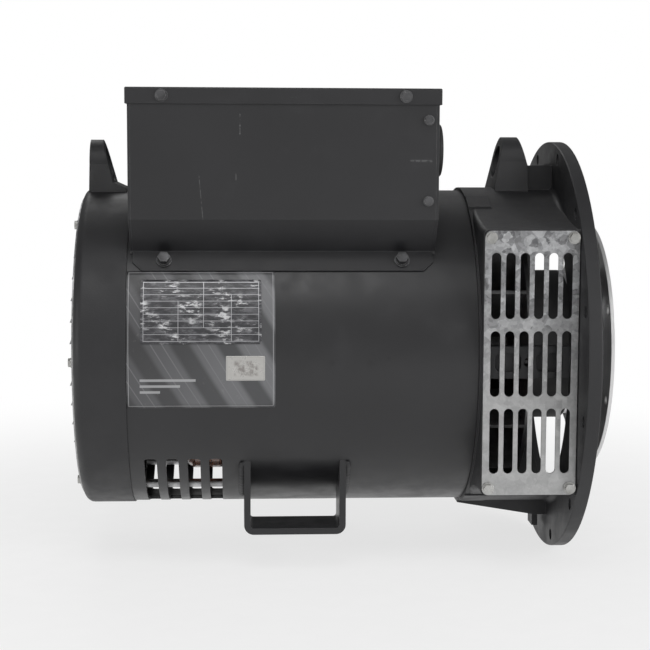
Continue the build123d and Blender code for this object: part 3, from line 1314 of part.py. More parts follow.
def nodes():
    """Every node's name and solids."""
    pieces = {
        "stator_frame": stator_frame(),
        "core_bars": core_bars(),
        "drive_bracket": drive_bracket(),
        "grille_screws": grille_screws(),
        "rear_bracket": rear_bracket(),
        "rear_grille": rear_grille(),
        "rear_grille_screws": rear_grille_screws(),
        "stator_core": stator_core(),
        "stator_winding": stator_winding(),
        "tie_rods": tie_rods(),
        "bearing_outer_race": bearing_outer_race(),
        "bearing_inner_race": bearing_inner_race(),
        "bearing_balls": bearing_balls(),
        "bearing_cage": bearing_cage(),
        "shaft": shaft(),
        "rotor_core": rotor_core(),
        "rotor_winding": rotor_winding(),
        "coil_supports": coil_supports(),
        "exciter_stator": exciter_stator(),
        "exciter_coils": exciter_coils(),
        "exciter_rotor": exciter_rotor(),
        "rectifier_plate": rectifier_plate(),
        "rectifier_diodes": rectifier_diodes(),
        "cooling_fan": cooling_fan(),
        "coupling_hub": coupling_hub(),
        "coupling_discs": coupling_discs(),
        "clamp_ring": clamp_ring(),
        "clamp_bolts": clamp_bolts(),
        "box_sides": box_sides(),
        "box_end_rear": box_end_rear(),
        "box_end_drive": box_end_drive(),
        "box_lid": box_lid(),
        "lid_screws": lid_screws(),
        "panel_screws": panel_screws(),
        "foot_bolts": foot_bolts(),
        "cable_plug": cable_plug(),
        "equipment_tray": equipment_tray(),
        "terminal_board": terminal_board(),
        "terminal_studs": terminal_studs(),
        "regulator_case": regulator_case(),
    }
    pieces |= near_and_far("side_grille", side_grille())
    pieces |= near_and_far("strap_foot", strap_foot())
    for number, x in enumerate(trimmer_xs(), start=1):
        pieces[f"regulator_trimmer_{number}"] = trimmer(x)
    return pieces


for node_name, node_shape in nodes().items():
    export_step(node_shape, f"parts/{node_name}.step")
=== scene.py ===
"""Finishes, data labels, weld beads, lamps and camera for a generator alternator head.

The engine end looks along +X and the top along +Z. Every length is in metres.
"""

import logging
import math
from collections.abc import Iterable
from dataclasses import dataclass, field
from enum import Enum

import bmesh
import bpy
from mathutils import Matrix, Vector


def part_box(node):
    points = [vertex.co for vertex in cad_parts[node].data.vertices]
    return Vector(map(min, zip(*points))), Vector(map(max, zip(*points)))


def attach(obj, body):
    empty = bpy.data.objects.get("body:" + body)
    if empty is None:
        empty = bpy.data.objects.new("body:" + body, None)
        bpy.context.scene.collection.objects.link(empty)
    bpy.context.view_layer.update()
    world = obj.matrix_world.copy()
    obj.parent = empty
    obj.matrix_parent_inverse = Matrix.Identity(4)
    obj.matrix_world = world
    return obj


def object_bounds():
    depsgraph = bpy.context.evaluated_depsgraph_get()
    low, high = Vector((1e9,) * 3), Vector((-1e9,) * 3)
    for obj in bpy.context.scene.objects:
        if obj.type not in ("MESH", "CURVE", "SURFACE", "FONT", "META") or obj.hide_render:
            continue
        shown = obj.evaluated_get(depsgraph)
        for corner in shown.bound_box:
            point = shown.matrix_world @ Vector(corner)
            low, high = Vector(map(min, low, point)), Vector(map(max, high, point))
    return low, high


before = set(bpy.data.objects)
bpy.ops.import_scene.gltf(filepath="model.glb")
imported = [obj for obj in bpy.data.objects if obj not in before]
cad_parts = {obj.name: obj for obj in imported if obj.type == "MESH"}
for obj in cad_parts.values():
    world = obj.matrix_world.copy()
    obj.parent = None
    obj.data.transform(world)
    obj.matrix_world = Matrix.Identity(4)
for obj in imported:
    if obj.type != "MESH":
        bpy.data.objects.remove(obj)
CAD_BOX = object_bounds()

log = logging.getLogger("alternator_head")

MM = 0.001
SMOOTH_ANGLE = math.radians(32)
DRUM_RADIUS = 153.5             # outer radius of the rolled frame, in millimetres
FLAT_MAP = "sheet"              # the coordinates that a printed sheet carries, in metres
SHORTEST = 1e-12                # keeps a line of no length from dividing by zero

# How finely the script's own pieces are divided.
CORNER_STEPS = 6
LENGTH_STEPS = 12
SHEET_ROWS = 28
BEAD_POINTS = 40
BEAD_SIDES = 12

Colour = tuple[float, float, float]
Point = tuple[float, float, float]
Socket = bpy.types.NodeSocket
Feed = Socket | float | tuple[float, ...]


class Body(Enum):
    """The body of the motion model that carries the script's own pieces."""

    STATOR = "stator"


class Side(Enum):
    """The two long sides of the head, by the sign of Y."""

    NEAR = -1
    FAR = 1


def tinted(colour: Colour, factor: float, lift: float = 0.0) -> Colour:
    """Makes a colour brighter or darker.

    Args:
        colour: The colour.
        factor: What each channel is multiplied by.
        lift: What is added to each channel after that.

    Returns:
        The new colour, with no channel above 1.
    """
    return tuple(min(1.0, value * factor + lift) for value in colour)


class Graph:
    """Writes the shader nodes of one material."""

    def __init__(self, name: str) -> None:
        """Starts an empty node tree.

        Args:
            name: The material's name.
        """
        self.material = bpy.data.materials.new(name)
        self.material.use_nodes = True
        self.tree = self.material.node_tree
        self.tree.nodes.clear()
        self.output = self.tree.nodes.new("ShaderNodeOutputMaterial")
        self.place = self.tree.nodes.new("ShaderNodeTexCoord").outputs["Object"]

    def feed(self, socket: Socket, value: Feed) -> None:
        """Links a socket to another, or sets its own value.

        Args:
            socket: The input to fill.
            value: An output socket, a number or a colour.
        """
        if isinstance(value, bpy.types.NodeSocket):
            self.tree.links.new(value, socket)
        elif socket.type == "RGBA" and len(value) == 3:
            socket.default_value = (*value, 1.0)
        else:
            socket.default_value = value

    def math(self, operation: str, *values: Feed, clamp: bool = False) -> Socket:
        """Adds a Math node.

        Args:
            operation: The node's operation, such as MULTIPLY.
            values: Its inputs, in order.
            clamp: Whether the result is held between 0 and 1.

        Returns:
            The node's output.
        """
        node = self.tree.nodes.new("ShaderNodeMath")
        node.operation = operation
        node.use_clamp = clamp
        for socket, value in zip(node.inputs, values):
            self.feed(socket, value)
        return node.outputs[0]

    def times(self, first: Feed, *others: Feed) -> Feed:
        """Multiplies numbers, from left to right."""
        for other in others:
            first = self.math("MULTIPLY", first, other)
        return first

    def plus(self, first: Feed, second: Feed) -> Socket:
        """Adds two numbers."""
        return self.math("ADD", first, second)

    def minus(self, first: Feed, second: Feed) -> Socket:
        """Takes the second number from the first."""
        return self.math("SUBTRACT", first, second)

    def vector(self, operation: str, *values: Feed) -> bpy.types.Node:
        """Adds a Vector Math node.

        Args:
            operation: The node's operation, such as DOT_PRODUCT.
            values: Its inputs, in order.

        Returns:
            The node, whose outputs are Vector and Value.
        """
        node = self.tree.nodes.new("ShaderNodeVectorMath")
        node.operation = operation
        for socket, value in zip(node.inputs, values):
            self.feed(socket, value)
        return node

    def scaled(self, value: Feed, factor: Feed) -> Socket:
        """Multiplies a vector by a number."""
        node = self.vector("SCALE", value)
        self.feed(node.inputs["Scale"], factor)
        return node.outputs["Vector"]

    def split(self, value: Feed) -> tuple[Socket, Socket, Socket]:
        """Takes a vector apart into its X, Y and Z."""
        node = self.tree.nodes.new("ShaderNodeSeparateXYZ")
        self.feed(node.inputs[0], value)
        return node.outputs[0], node.outputs[1], node.outputs[2]

    def joined(self, x: Feed, y: Feed, z: Feed) -> Socket:
        """Puts X, Y and Z together into a vector."""
        node = self.tree.nodes.new("ShaderNodeCombineXYZ")
        for socket, value in zip(node.inputs, (x, y, z)):
            self.feed(socket, value)
        return node.outputs[0]

    def noise(self, where: Feed, scale: float, detail: float = 2.0, rough: float = 0.5) -> Socket:
        """Adds a noise texture.

        Args:
            where: The coordinates that it reads.
            scale: How many grains go into a metre.
            detail: How many finer layers it has.
            rough: How strong the finer layers are.

        Returns:
            The noise, about 0.5 on average.
        """
        node = self.tree.nodes.new("ShaderNodeTexNoise")
        self.feed(node.inputs["Vector"], where)
        node.inputs["Scale"].default_value = scale
        node.inputs["Detail"].default_value = detail
        node.inputs["Roughness"].default_value = rough
        return node.outputs[0]

    def cells(self, where: Feed, scale: float) -> bpy.types.Node:
        """Adds a Voronoi texture, whose outputs are Distance and Color."""
        node = self.tree.nodes.new("ShaderNodeTexVoronoi")
        self.feed(node.inputs["Vector"], where)
        node.inputs["Scale"].default_value = scale
        return node

    def step(
        self, value: Feed, low: float, high: float, to_low: float = 0.0, to_high: float = 1.0
    ) -> Socket:
        """Eases a value from one range to another.

        Args:
            value: What is mapped.
            low: The value at which the result is to_low.
            high: The value at which the result is to_high.
            to_low: The result at low.
            to_high: The result at high.

        Returns:
            The eased value, held inside its range.
        """
        node = self.tree.nodes.new("ShaderNodeMapRange")
        node.interpolation_type = "SMOOTHSTEP"
        for socket, number in zip(node.inputs, (value, low, high, to_low, to_high)):
            self.feed(socket, number)
        return node.outputs[0]

    def between(self, value: Feed, low: float, high: float, soft: float) -> Socket:
        """A band that is 1 from low to high, with soft edges outside it."""
        rise = self.step(value, low - soft, low)
        fall = self.step(value, high, high + soft)
        return self.times(rise, self.minus(1.0, fall))

    def blend(self, share: Feed, first: Feed, second: Feed) -> Socket:
        """Mixes two colours.

        Args:
            share: How much of the second colour shows.
            first: The colour at 0.
            second: The colour at 1.

        Returns:
            The mixed colour.
        """
        node = self.tree.nodes.new("ShaderNodeMix")
        node.data_type = "RGBA"
        self.feed(node.inputs[0], share)
        self.feed(node.inputs[6], first)
        self.feed(node.inputs[7], second)
        return node.outputs[2]

    def most(self, values: Iterable[Feed]) -> Socket:
        """The largest of several numbers."""
        found = None
        for value in values:
            found = value if found is None else self.math("MAXIMUM", found, value)
        return found

    def round_edges(self, radius: float) -> Socket:
        """The surface's normal with its edges rounded off."""
        node = self.tree.nodes.new("ShaderNodeBevel")
        node.samples = 4
        node.inputs["Radius"].default_value = radius
        return node.outputs[0]

    def edge_mask(self, rounded: Socket, low: float, high: float) -> Socket:
        """Where the rounded normal leaves the flat one, which is at the edges.

        Args:
            rounded: The normal from round_edges.
            low: The turn at which the mask starts.
            high: The turn at which it is full.

        Returns:
            A mask that is 1 at the edges.
        """
        flat = self.tree.nodes.new("ShaderNodeNewGeometry").outputs["Normal"]
        same = self.vector("DOT_PRODUCT", rounded, flat).outputs["Value"]
        return self.step(self.minus(1.0, same), low, high)

    def bump(self, height: Feed, depth: float, normal: Socket | None = None) -> Socket:
        """Turns heights into a normal.

        Args:
            height: The height, from 0 to 1.
            depth: How deep a height of 1 is, in metres.
            normal: The normal that it starts from.

        Returns:
            The new normal.
        """
        node = self.tree.nodes.new("ShaderNodeBump")
        node.inputs["Strength"].default_value = 1.0
        node.inputs["Distance"].default_value = depth
        self.feed(node.inputs["Height"], height)
        if normal is not None:
            self.feed(node.inputs["Normal"], normal)
        return node.outputs[0]

    def around_axis(self) -> tuple[Socket, Socket, Socket]:
        """The distance along the shaft, the distance from it and the angle around it."""
        x, y, z = self.split(self.place)
        radius = self.math("SQRT", self.plus(self.times(y, y), self.times(z, z)))
        return x, radius, self.math("ARCTAN2", z, y)

    def near_line(self, start: Point, end: Point, width: float) -> Socket:
        """A mask along a straight line between two points.

        Args:
            start: One end of the line.
            end: Its other end.
            width: How far from the line the mask reaches.

        Returns:
            A mask that is 1 on the line.
        """
        run = Vector(end) - Vector(start)
        offset = self.vector("SUBTRACT", self.place, start).outputs["Vector"]
        along = self.vector("DOT_PRODUCT", offset, tuple(run)).outputs["Value"]
        share = self.math("DIVIDE", along, max(run.length_squared, SHORTEST), clamp=True)
        nearest = self.scaled(tuple(run), share)
        far = self.vector("DISTANCE", offset, nearest).outputs["Value"]
        return self.step(far, 0.0, width, 1.0, 0.0)

    def shade(
        self,
        colour: Feed,
        roughness: Feed,
        metallic: Feed = 0.0,
        normal: Socket | None = None,
        **more: Feed,
    ) -> bpy.types.Material:
        """Ends the tree in a Principled shader.

        Args:
            colour: The base colour.
            roughness: The roughness.
            metallic: How metallic it is.
            normal: The normal, or None for the mesh's own.
            more: Other sockets by name, with _ for a space.

        Returns:
            The finished material.
        """
        node = self.tree.nodes.new("ShaderNodeBsdfPrincipled")
        self.feed(node.inputs["Base Color"], colour)
        self.feed(node.inputs["Roughness"], roughness)
        self.feed(node.inputs["Metallic"], metallic)
        if normal is not None:
            self.feed(node.inputs["Normal"], normal)
        for name, value in more.items():
            self.feed(node.inputs[name.replace("_", " ")], value)
        self.tree.links.new(node.outputs[0], self.output.inputs["Surface"])
        return self.material


@dataclass(frozen=True)
class Finish:
    """What a surface is made of and covered with.

    Attributes:
        name: The material's name.
        slot: The record's material slot that it belongs to; it is not used.
    """

    name: str
    slot: str

    def material(self) -> bpy.types.Material:
        """Makes the material once, and gives the same one after that."""
        name = f"{self.name}_finish"
        return bpy.data.materials.get(name) or self.make(Graph(name))

    def make(self, graph: Graph) -> bpy.types.Material:
        """Writes the material's nodes."""
        raise NotImplementedError


@dataclass(frozen=True)
class Scuff:
    """A scratch through the paint, as a straight line.

    Attributes:
        start: Where it starts, in millimetres.
        end: Where it ends.
        width: Its half width, in millimetres.
        strength: How much of the paint it takes.
    """

    start: Point
    end: Point
    width: float
    strength: float = 1.0

    def mask(self, graph: Graph, ragged: Socket) -> Socket:
        """Where the scratch is.

        Args:
            graph: The material's nodes.
            ragged: Noise that breaks the line up.

        Returns:
            A mask from 0 to its strength.
        """
        start = tuple(value * MM for value in self.start)
        end = tuple(value * MM for value in self.end)
        line = graph.near_line(start, end, self.width * MM)
        return graph.times(line, graph.step(ragged, 0.42, 0.6), self.strength)


@dataclass(frozen=True)
class Dimple:
    """A faint round dent in a painted sheet, with painted shade in it.

    Attributes:
        middle: Its middle, in millimetres.
        radius: Its radius, in millimetres.
    """

    middle: Point
    radius: float

    def mask(self, graph: Graph) -> Socket:
        """Where the dent is, deepest in the middle."""
        spot = tuple(value * MM for value in self.middle)
        return graph.near_line(spot, spot, self.radius * MM)


@dataclass(frozen=True)
class BlackPaint(Finish):
    """Satin black paint on steel or on a casting.

    Attributes:
        colour: The paint's colour.
        roughness: How matt it is.
        grain: The size of the surface's grain, in metres.
        relief: The depth of the grain, in metres.
        edge: How much paint has worn thin at the edges.
        worn: The colour of the paint where it has worn thin.
        bare: The colour of a scratch.
        scuffs: Scratches in the paint.
        dimples: Faint round dents in the sheet, each darkened with painted shade.
    """

    colour: Colour = (0.014, 0.014, 0.0155)
    roughness: float = 0.37
    grain: float = 1.2 * MM
    relief: float = 0.05 * MM
    edge: float = 0.35
    worn: Colour = (0.16, 0.16, 0.165)
    bare: Colour = (0.36, 0.36, 0.36)
    scuffs: tuple[Scuff, ...] = ()
    dimples: tuple[Dimple, ...] = ()

    def make(self, graph: Graph) -> bpy.types.Material:
        """Writes the paint's nodes."""
        place = graph.place
        cloud = graph.noise(place, 9.0, 3.0)
        film = graph.noise(place, 1.0 / self.grain, 2.0)
        fine = graph.noise(place, 4.2 / self.grain, 1.0)
        handled = graph.noise(place, 38.0, 4.0, 0.62)
        rounded = graph.round_edges(0.9 * MM)
        edge = graph.edge_mask(rounded, 0.015, 0.2)
        colour = graph.blend(graph.step(cloud, 0.3, 0.72), self.colour, tinted(self.colour, 1.3))
        rubbed = graph.times(graph.step(handled, 0.52, 0.78), 0.35)
        colour = graph.blend(rubbed, colour, tinted(self.colour, 1.75, 0.006))
        thin = graph.times(edge, graph.step(handled, 0.38, 0.7), self.edge)
        colour = graph.blend(thin, colour, self.worn)
        rough = graph.step(handled, 0.3, 0.75, self.roughness - 0.06, self.roughness + 0.09)
        height = graph.plus(graph.times(film, 0.7), graph.times(fine, 0.3))
        if self.dimples:
            dent = graph.most([dimple.mask(graph) for dimple in self.dimples])
            # painted shade: each dent is painted darker as well as bumped in
            colour = graph.blend(graph.times(dent, 0.55), colour, tinted(self.colour, 0.45))
            height = graph.minus(height, graph.times(dent, 3.0))
        if self.scuffs:
            ragged = graph.noise(place, 260.0, 3.0, 0.7)
            scratch = graph.most([scuff.mask(graph, ragged) for scuff in self.scuffs])
            colour = graph.blend(scratch, colour, self.bare)
            rough = graph.plus(rough, graph.times(scratch, 0.2))
        normal = graph.bump(height, self.relief, rounded)
        return graph.shade(colour, rough, 0.0, normal, Specular_IOR_Level=0.55)


@dataclass(frozen=True)
class Galvanised(Finish):
    """Hot-dip zinc on steel sheet, with crystals of different brightness and a painted reflection
    that makes it lighter and more even towards the bottom.

    Attributes:
        crystal: The size of a crystal, in metres.
        even_below: The height below which the crystals hardly show and the painted reflection is
            strongest, in metres.
        full_above: The height above which the crystals show in full and the zinc is painted
            darker, with no painted reflection.
    """

    crystal: float = 7.0 * MM
    even_below: float = -60 * MM
    full_above: float = 90 * MM

    def make(self, graph: Graph) -> bpy.types.Material:
        """Writes the zinc's nodes."""
        warp = graph.tree.nodes.new("ShaderNodeTexNoise")
        graph.feed(warp.inputs["Vector"], graph.place)
        warp.inputs["Scale"].default_value = 150.0
        shift = graph.scaled(warp.outputs[1], 0.6 * self.crystal)
        bent = graph.vector("ADD", graph.place, shift).outputs["Vector"]
        crystal = graph.cells(bent, 1.0 / self.crystal)
        small = graph.cells(bent, 2.6 / self.crystal)
        shade, tilt, _ = graph.split(crystal.outputs["Color"])
        fleck, _, _ = graph.split(small.outputs["Color"])
        _, _, height = graph.split(graph.place)
        # one share sets both how strongly the crystals show and the painted reflection, which
        # fades towards the top
        spangle_and_reflection = graph.step(height, self.even_below, self.full_above, 0.3, 1.0)
        mottle = graph.plus(graph.times(shade, 0.65), graph.times(fleck, 0.35))
        mottle = graph.times(graph.minus(mottle, 0.5), spangle_and_reflection)
        dull = graph.step(graph.noise(graph.place, 55.0, 4.0, 0.65), 0.4, 0.72)
        # painted reflection: the zinc is painted lighter and more even towards the bottom and
        # darker towards the top
        dark = graph.blend(spangle_and_reflection, (0.34, 0.34, 0.34), (0.12, 0.12, 0.125))
        light = graph.blend(spangle_and_reflection, (0.68, 0.68, 0.67), (0.56, 0.565, 0.575))
        colour = graph.blend(graph.math("ADD", 0.5, mottle, clamp=True), dark, light)
        colour = graph.blend(graph.times(dull, 0.3), colour, (0.3, 0.3, 0.305))
        rough = graph.plus(0.3, graph.times(tilt, 0.22))
        rough = graph.plus(rough, graph.times(dull, 0.12))
        rounded = graph.round_edges(0.6 * MM)
        relief = graph.plus(graph.times(shade, 0.6), fleck)
        normal = graph.bump(relief, 0.04 * MM, rounded)
        return graph.shade(colour, rough, 0.85, normal)


@dataclass(frozen=True)
class BareMetal(Finish):
    """Machined, rolled or cast metal without paint.

    Attributes:
        colour: The metal's colour.
        dark: Its colour where it is stained or in shade.
        roughness: How matt it is.
        turned: Whether it has turning marks around the shaft.
        relief: The depth of its marks, in metres.
        raw_up_to: The place along the shaft up to which it is left as cast, in metres, or None.
    """

    colour: Colour = (0.62, 0.62, 0.63)
    dark: Colour = (0.3, 0.3, 0.31)
    roughness: float = 0.3
    turned: bool = False
    relief: float = 0.02 * MM
    raw_up_to: float | None = None

    def make(self, graph: Graph) -> bpy.types.Material:
        """Writes the metal's nodes."""
        if self.turned:
            along, radius, angle = graph.around_axis()
            where = graph.joined(along, radius, graph.times(angle, 0.4 * MM))
            marks = graph.noise(where, 1900.0, 3.0, 0.65)
        else:
            marks = graph.noise(graph.place, 900.0, 3.0, 0.6)
        stain = graph.noise(graph.place, 48.0, 4.0, 0.6)
        rounded = graph.round_edges(0.4 * MM)
        edge = graph.edge_mask(rounded, 0.02, 0.25)
        colour = graph.blend(graph.step(stain, 0.35, 0.75, 0.0, 0.8), self.colour, self.dark)
        colour = graph.blend(graph.step(marks, 0.35, 0.7, 0.0, 0.25), colour, self.dark)
        colour = graph.blend(graph.times(edge, 0.45), colour, (0.8, 0.8, 0.8))
        rough = graph.step(stain, 0.3, 0.75, self.roughness, self.roughness + 0.18)
        metallic: Feed = 0.95
        if self.raw_up_to is not None:
            x, _, _ = graph.split(graph.place)
            machined = graph.step(x, self.raw_up_to, self.raw_up_to + 0.3 * MM)
            patchy = graph.step(stain, 0.35, 0.75)
            raw = graph.blend(patchy, (0.012, 0.012, 0.013), (0.028, 0.027, 0.026))
            colour = graph.blend(machined, raw, colour)
            rough = graph.math("MAXIMUM", rough, graph.times(graph.minus(1.0, machined), 0.6))
            metallic = graph.times(machined, 0.95)
        return graph.shade(colour, rough, metallic, graph.bump(marks, self.relief, rounded))


@dataclass(frozen=True)
class Laminations(Finish):
    """Thin electrical steel sheets stacked along the shaft."""

    colour: Colour = (0.21, 0.205, 0.2)

    def make(self, graph: Graph) -> bpy.types.Material:
        """Writes the stacked sheets' nodes."""
        x, _, angle = graph.around_axis()
        layers = graph.noise(graph.joined(x, graph.times(angle, 0.6 * MM), 0.0), 1500.0, 1.0)
        stain = graph.noise(graph.place, 60.0, 4.0, 0.6)
        colour = graph.blend(graph.step(layers, 0.4, 0.62), tinted(self.colour, 0.45), self.colour)
        colour = graph.blend(graph.step(stain, 0.5, 0.8, 0.0, 0.4), colour, (0.09, 0.06, 0.045))
        rough = graph.step(stain, 0.3, 0.7, 0.42, 0.6)
        return graph.shade(colour, rough, 0.7, graph.bump(layers, 0.12 * MM))


@dataclass(frozen=True)
class VarnishedCopper(Finish):
    """Bundled enamelled wire under baked varnish, with painted shade in the gaps between the
    strands.
    """

    colour: Colour = (0.33, 0.1, 0.035)

    def make(self, graph: Graph) -> bpy.types.Material:
        """Writes the winding's nodes."""
        x, radius, angle = graph.around_axis()
        sway = graph.noise(graph.place, 30.0, 2.0)
        across = graph.plus(radius, graph.times(sway, 5 * MM))
        strands = graph.noise(graph.joined(x, across, graph.times(angle, 4 * MM)), 720.0, 1.0)
        pool = graph.noise(graph.place, 85.0, 3.0, 0.6)
        # painted shade: the gaps between the strands are painted darker than the wire
        wire = graph.step(strands, 0.35, 0.65)
        colour = graph.blend(wire, tinted(self.colour, 0.4), self.colour)
        colour = graph.blend(graph.step(pool, 0.5, 0.8, 0.0, 0.55), colour, (0.09, 0.03, 0.015))
        rough = graph.step(pool, 0.3, 0.7, 0.24, 0.42)
        normal = graph.bump(strands, 0.5 * MM)
        return graph.shade(colour, rough, 0.25, normal, Coat_Weight=0.4)


@dataclass(frozen=True)
class DiscSteel(Finish):
    """Spring steel plate: rolled faces with a ground rim.

    Attributes:
        rim: The radius outside which the steel is ground bright, in metres.
    """

    rim: float = 118.9 * MM

    def make(self, graph: Graph) -> bpy.types.Material:
        """Writes the disc steel's nodes."""
        _, radius, _ = graph.around_axis()
        bright = graph.step(radius, self.rim, self.rim + 0.4 * MM)
        stain = graph.noise(graph.place, 42.0, 4.0, 0.62)
        drawn = graph.vector("MULTIPLY", graph.place, (1.0, 1.0, 0.05)).outputs["Vector"]
        rolled = graph.noise(drawn, 800.0, 2.0)
        face = graph.blend(graph.step(stain, 0.35, 0.72), (0.33, 0.33, 0.33), (0.46, 0.46, 0.455))
        face = graph.blend(graph.step(rolled, 0.45, 0.7, 0.0, 0.3), face, (0.24, 0.235, 0.23))
        colour = graph.blend(bright, face, (0.74, 0.74, 0.74))
        rough = graph.step(stain, 0.3, 0.7, 0.32, 0.5)
        normal = graph.bump(rolled, 0.02 * MM, graph.round_edges(0.3 * MM))
        return graph.shade(colour, rough, 0.85, normal)


@dataclass(frozen=True)
class Plastic(Finish):
    """Moulded or cast plastic, resin or rubber.

    Attributes:
        colour: The plastic's colour.
        roughness: How matt it is.
        grain: The size of its grain, in metres.
    """

    colour: Colour = (0.03, 0.03, 0.03)
    roughness: float = 0.5
    grain: float = 0.6 * MM

    def make(self, graph: Graph) -> bpy.types.Material:
        """Writes the plastic's nodes."""
        grain = graph.noise(graph.place, 1.0 / self.grain, 2.0)
        dust = graph.noise(graph.place, 70.0, 4.0, 0.65)
        dusty = graph.step(dust, 0.42, 0.8, 0.0, 0.5)
        colour = graph.blend(dusty, self.colour, tinted(self.colour, 1.35, 0.02))
        rough = graph.step(dust, 0.3, 0.75, self.roughness - 0.05, self.roughness + 0.12)
        normal = graph.bump(grain, 0.03 * MM, graph.round_edges(0.4 * MM))
        return graph.shade(colour, rough, 0.0, normal)


@dataclass(frozen=True)
class Sheet:
    """A thin sheet bent round the drum.

    Attributes:
        x0: Its end towards the rear, in millimetres.
        x1: Its end towards the engine.
        top: Its upper edge, in degrees above the drum's side.
        bottom: Its lower edge.
        corner: The radius of its corners.
        lift: How far its back stands off the drum.
        thickness: How thick it is.
    """

    x0: float
    x1: float
    top: float
    bottom: float
    corner: float
    lift: float
    thickness: float

    def height(self) -> float:
        """Its height along the drum's skin, in millimetres."""
        return math.radians(self.top - self.bottom) * DRUM_RADIUS

    def columns(self) -> list[float]:
        """The places of its columns from its left edge, closer together at the corners."""
        wide = self.x1 - self.x0
        turns = [math.pi / 2 * i / CORNER_STEPS for i in range(CORNER_STEPS + 1)]
        bend = [self.corner * (1 - math.cos(turn)) for turn in turns]
        straight = wide - 2 * self.corner
        middle = [self.corner + straight * i / LENGTH_STEPS for i in range(1, LENGTH_STEPS)]
        return bend + middle + [wide - place for place in reversed(bend)]

    def build(self, name: str) -> bpy.types.Object:
        """Makes the sheet, with its own flat coordinates in metres.

        Args:
            name: The piece's name.

        Returns:
            The piece.
        """
        wide, high = self.x1 - self.x0, self.height()
        out = DRUM_RADIUS + self.lift + self.thickness
        mesh = bmesh.new()
        flat = mesh.loops.layers.uv.new(FLAT_MAP)
        places: dict[bmesh.types.BMVert, tuple[float, float]] = {}
        grid = []
        for u in self.columns():
            inset = max(0.0, self.corner - min(u, wide - u))
            rise = self.corner - math.sqrt(max(0.0, self.corner**2 - inset**2))
            column = []
            for row in range(SHEET_ROWS + 1):
                v = rise + (high - 2 * rise) * row / SHEET_ROWS
                angle = math.radians(self.bottom) + v / DRUM_RADIUS
                y, z = -out * math.cos(angle), out * math.sin(angle)
                vert = mesh.verts.new(((self.x0 + u) * MM, y * MM, z * MM))
                places[vert] = (u * MM, v * MM)
                column.append(vert)
            grid.append(column)
        for left, right in zip(grid, grid[1:]):
            for row in range(SHEET_ROWS):
                face = mesh.faces.new((left[row], right[row], right[row + 1], left[row + 1]))
                face.smooth = True
                for loop in face.loops:
                    loop[flat].uv = places[loop.vert]
        mesh.normal_update()
        piece = finished(mesh, name)
        solid = piece.modifiers.new("thickness", "SOLIDIFY")
        solid.thickness = self.thickness * MM
        solid.offset = -1.0
        return piece


@dataclass(frozen=True)
class Panel:
    """A rectangle on a printed sheet, in millimetres.

    Attributes:
        left: The distance of its left edge from the sheet's left edge.
        right: The distance of its right edge from there.
        low: The distance of its lower edge from the sheet's lower edge.
        high: The distance of its upper edge from there.
    """

    left: float
    right: float
    low: float
    high: float

    def inset(self, by: float) -> "Panel":
        """The rectangle with each edge moved inwards."""
        return Panel(self.left + by, self.right - by, self.low + by, self.high - by)


@dataclass(frozen=True)
class Flat:
    """The flat coordinates of a printed sheet, inside its material.

    Attributes:
        graph: The material's nodes.
        u: The distance from the sheet's left edge, in metres.
        v: The distance from its lower edge.
    """

    graph: Graph
    u: Socket
    v: Socket

    def place(self) -> Socket:
        """The two distances as a vector."""
        return self.graph.joined(self.u, self.v, 0.0)

    def block(self, panel: Panel, soft: float = 0.12) -> Socket:
        """A mask that is 1 inside a rectangle.

        Args:
            panel: The rectangle.
            soft: How far its edges fade, in millimetres.

        Returns:
            The mask.
        """
        across = self.graph.between(self.u, panel.left * MM, panel.right * MM, soft * MM)
        upward = self.graph.between(self.v, panel.low * MM, panel.high * MM, soft * MM)
        return self.graph.times(across, upward)

    def outline(self, panel: Panel, line: float) -> Socket:
        """A mask that is 1 on a line, in millimetres wide, along the inside of a rectangle."""
        outer, inner = self.block(panel), self.block(panel.inset(line))
        return self.graph.math("SUBTRACT", outer, inner, clamp=True)


@dataclass(frozen=True)
class Print(Finish):
    """A printed sheet that reads its own flat coordinates.

    Attributes:
        wide: The sheet's width in millimetres.
        high: The sheet's height in millimetres.
    """

    wide: float = 100.0
    high: float = 100.0

    def flat(self, graph: Graph) -> Flat:
        """The sheet's flat coordinates, read in its material."""
        node = graph.tree.nodes.new("ShaderNodeUVMap")
        node.uv_map = FLAT_MAP
        u, v, _ = graph.split(node.outputs[0])
        return Flat(graph, u, v)

    def area(self) -> Panel:
        """The whole sheet."""
        return Panel(0.0, self.wide, 0.0, self.high)


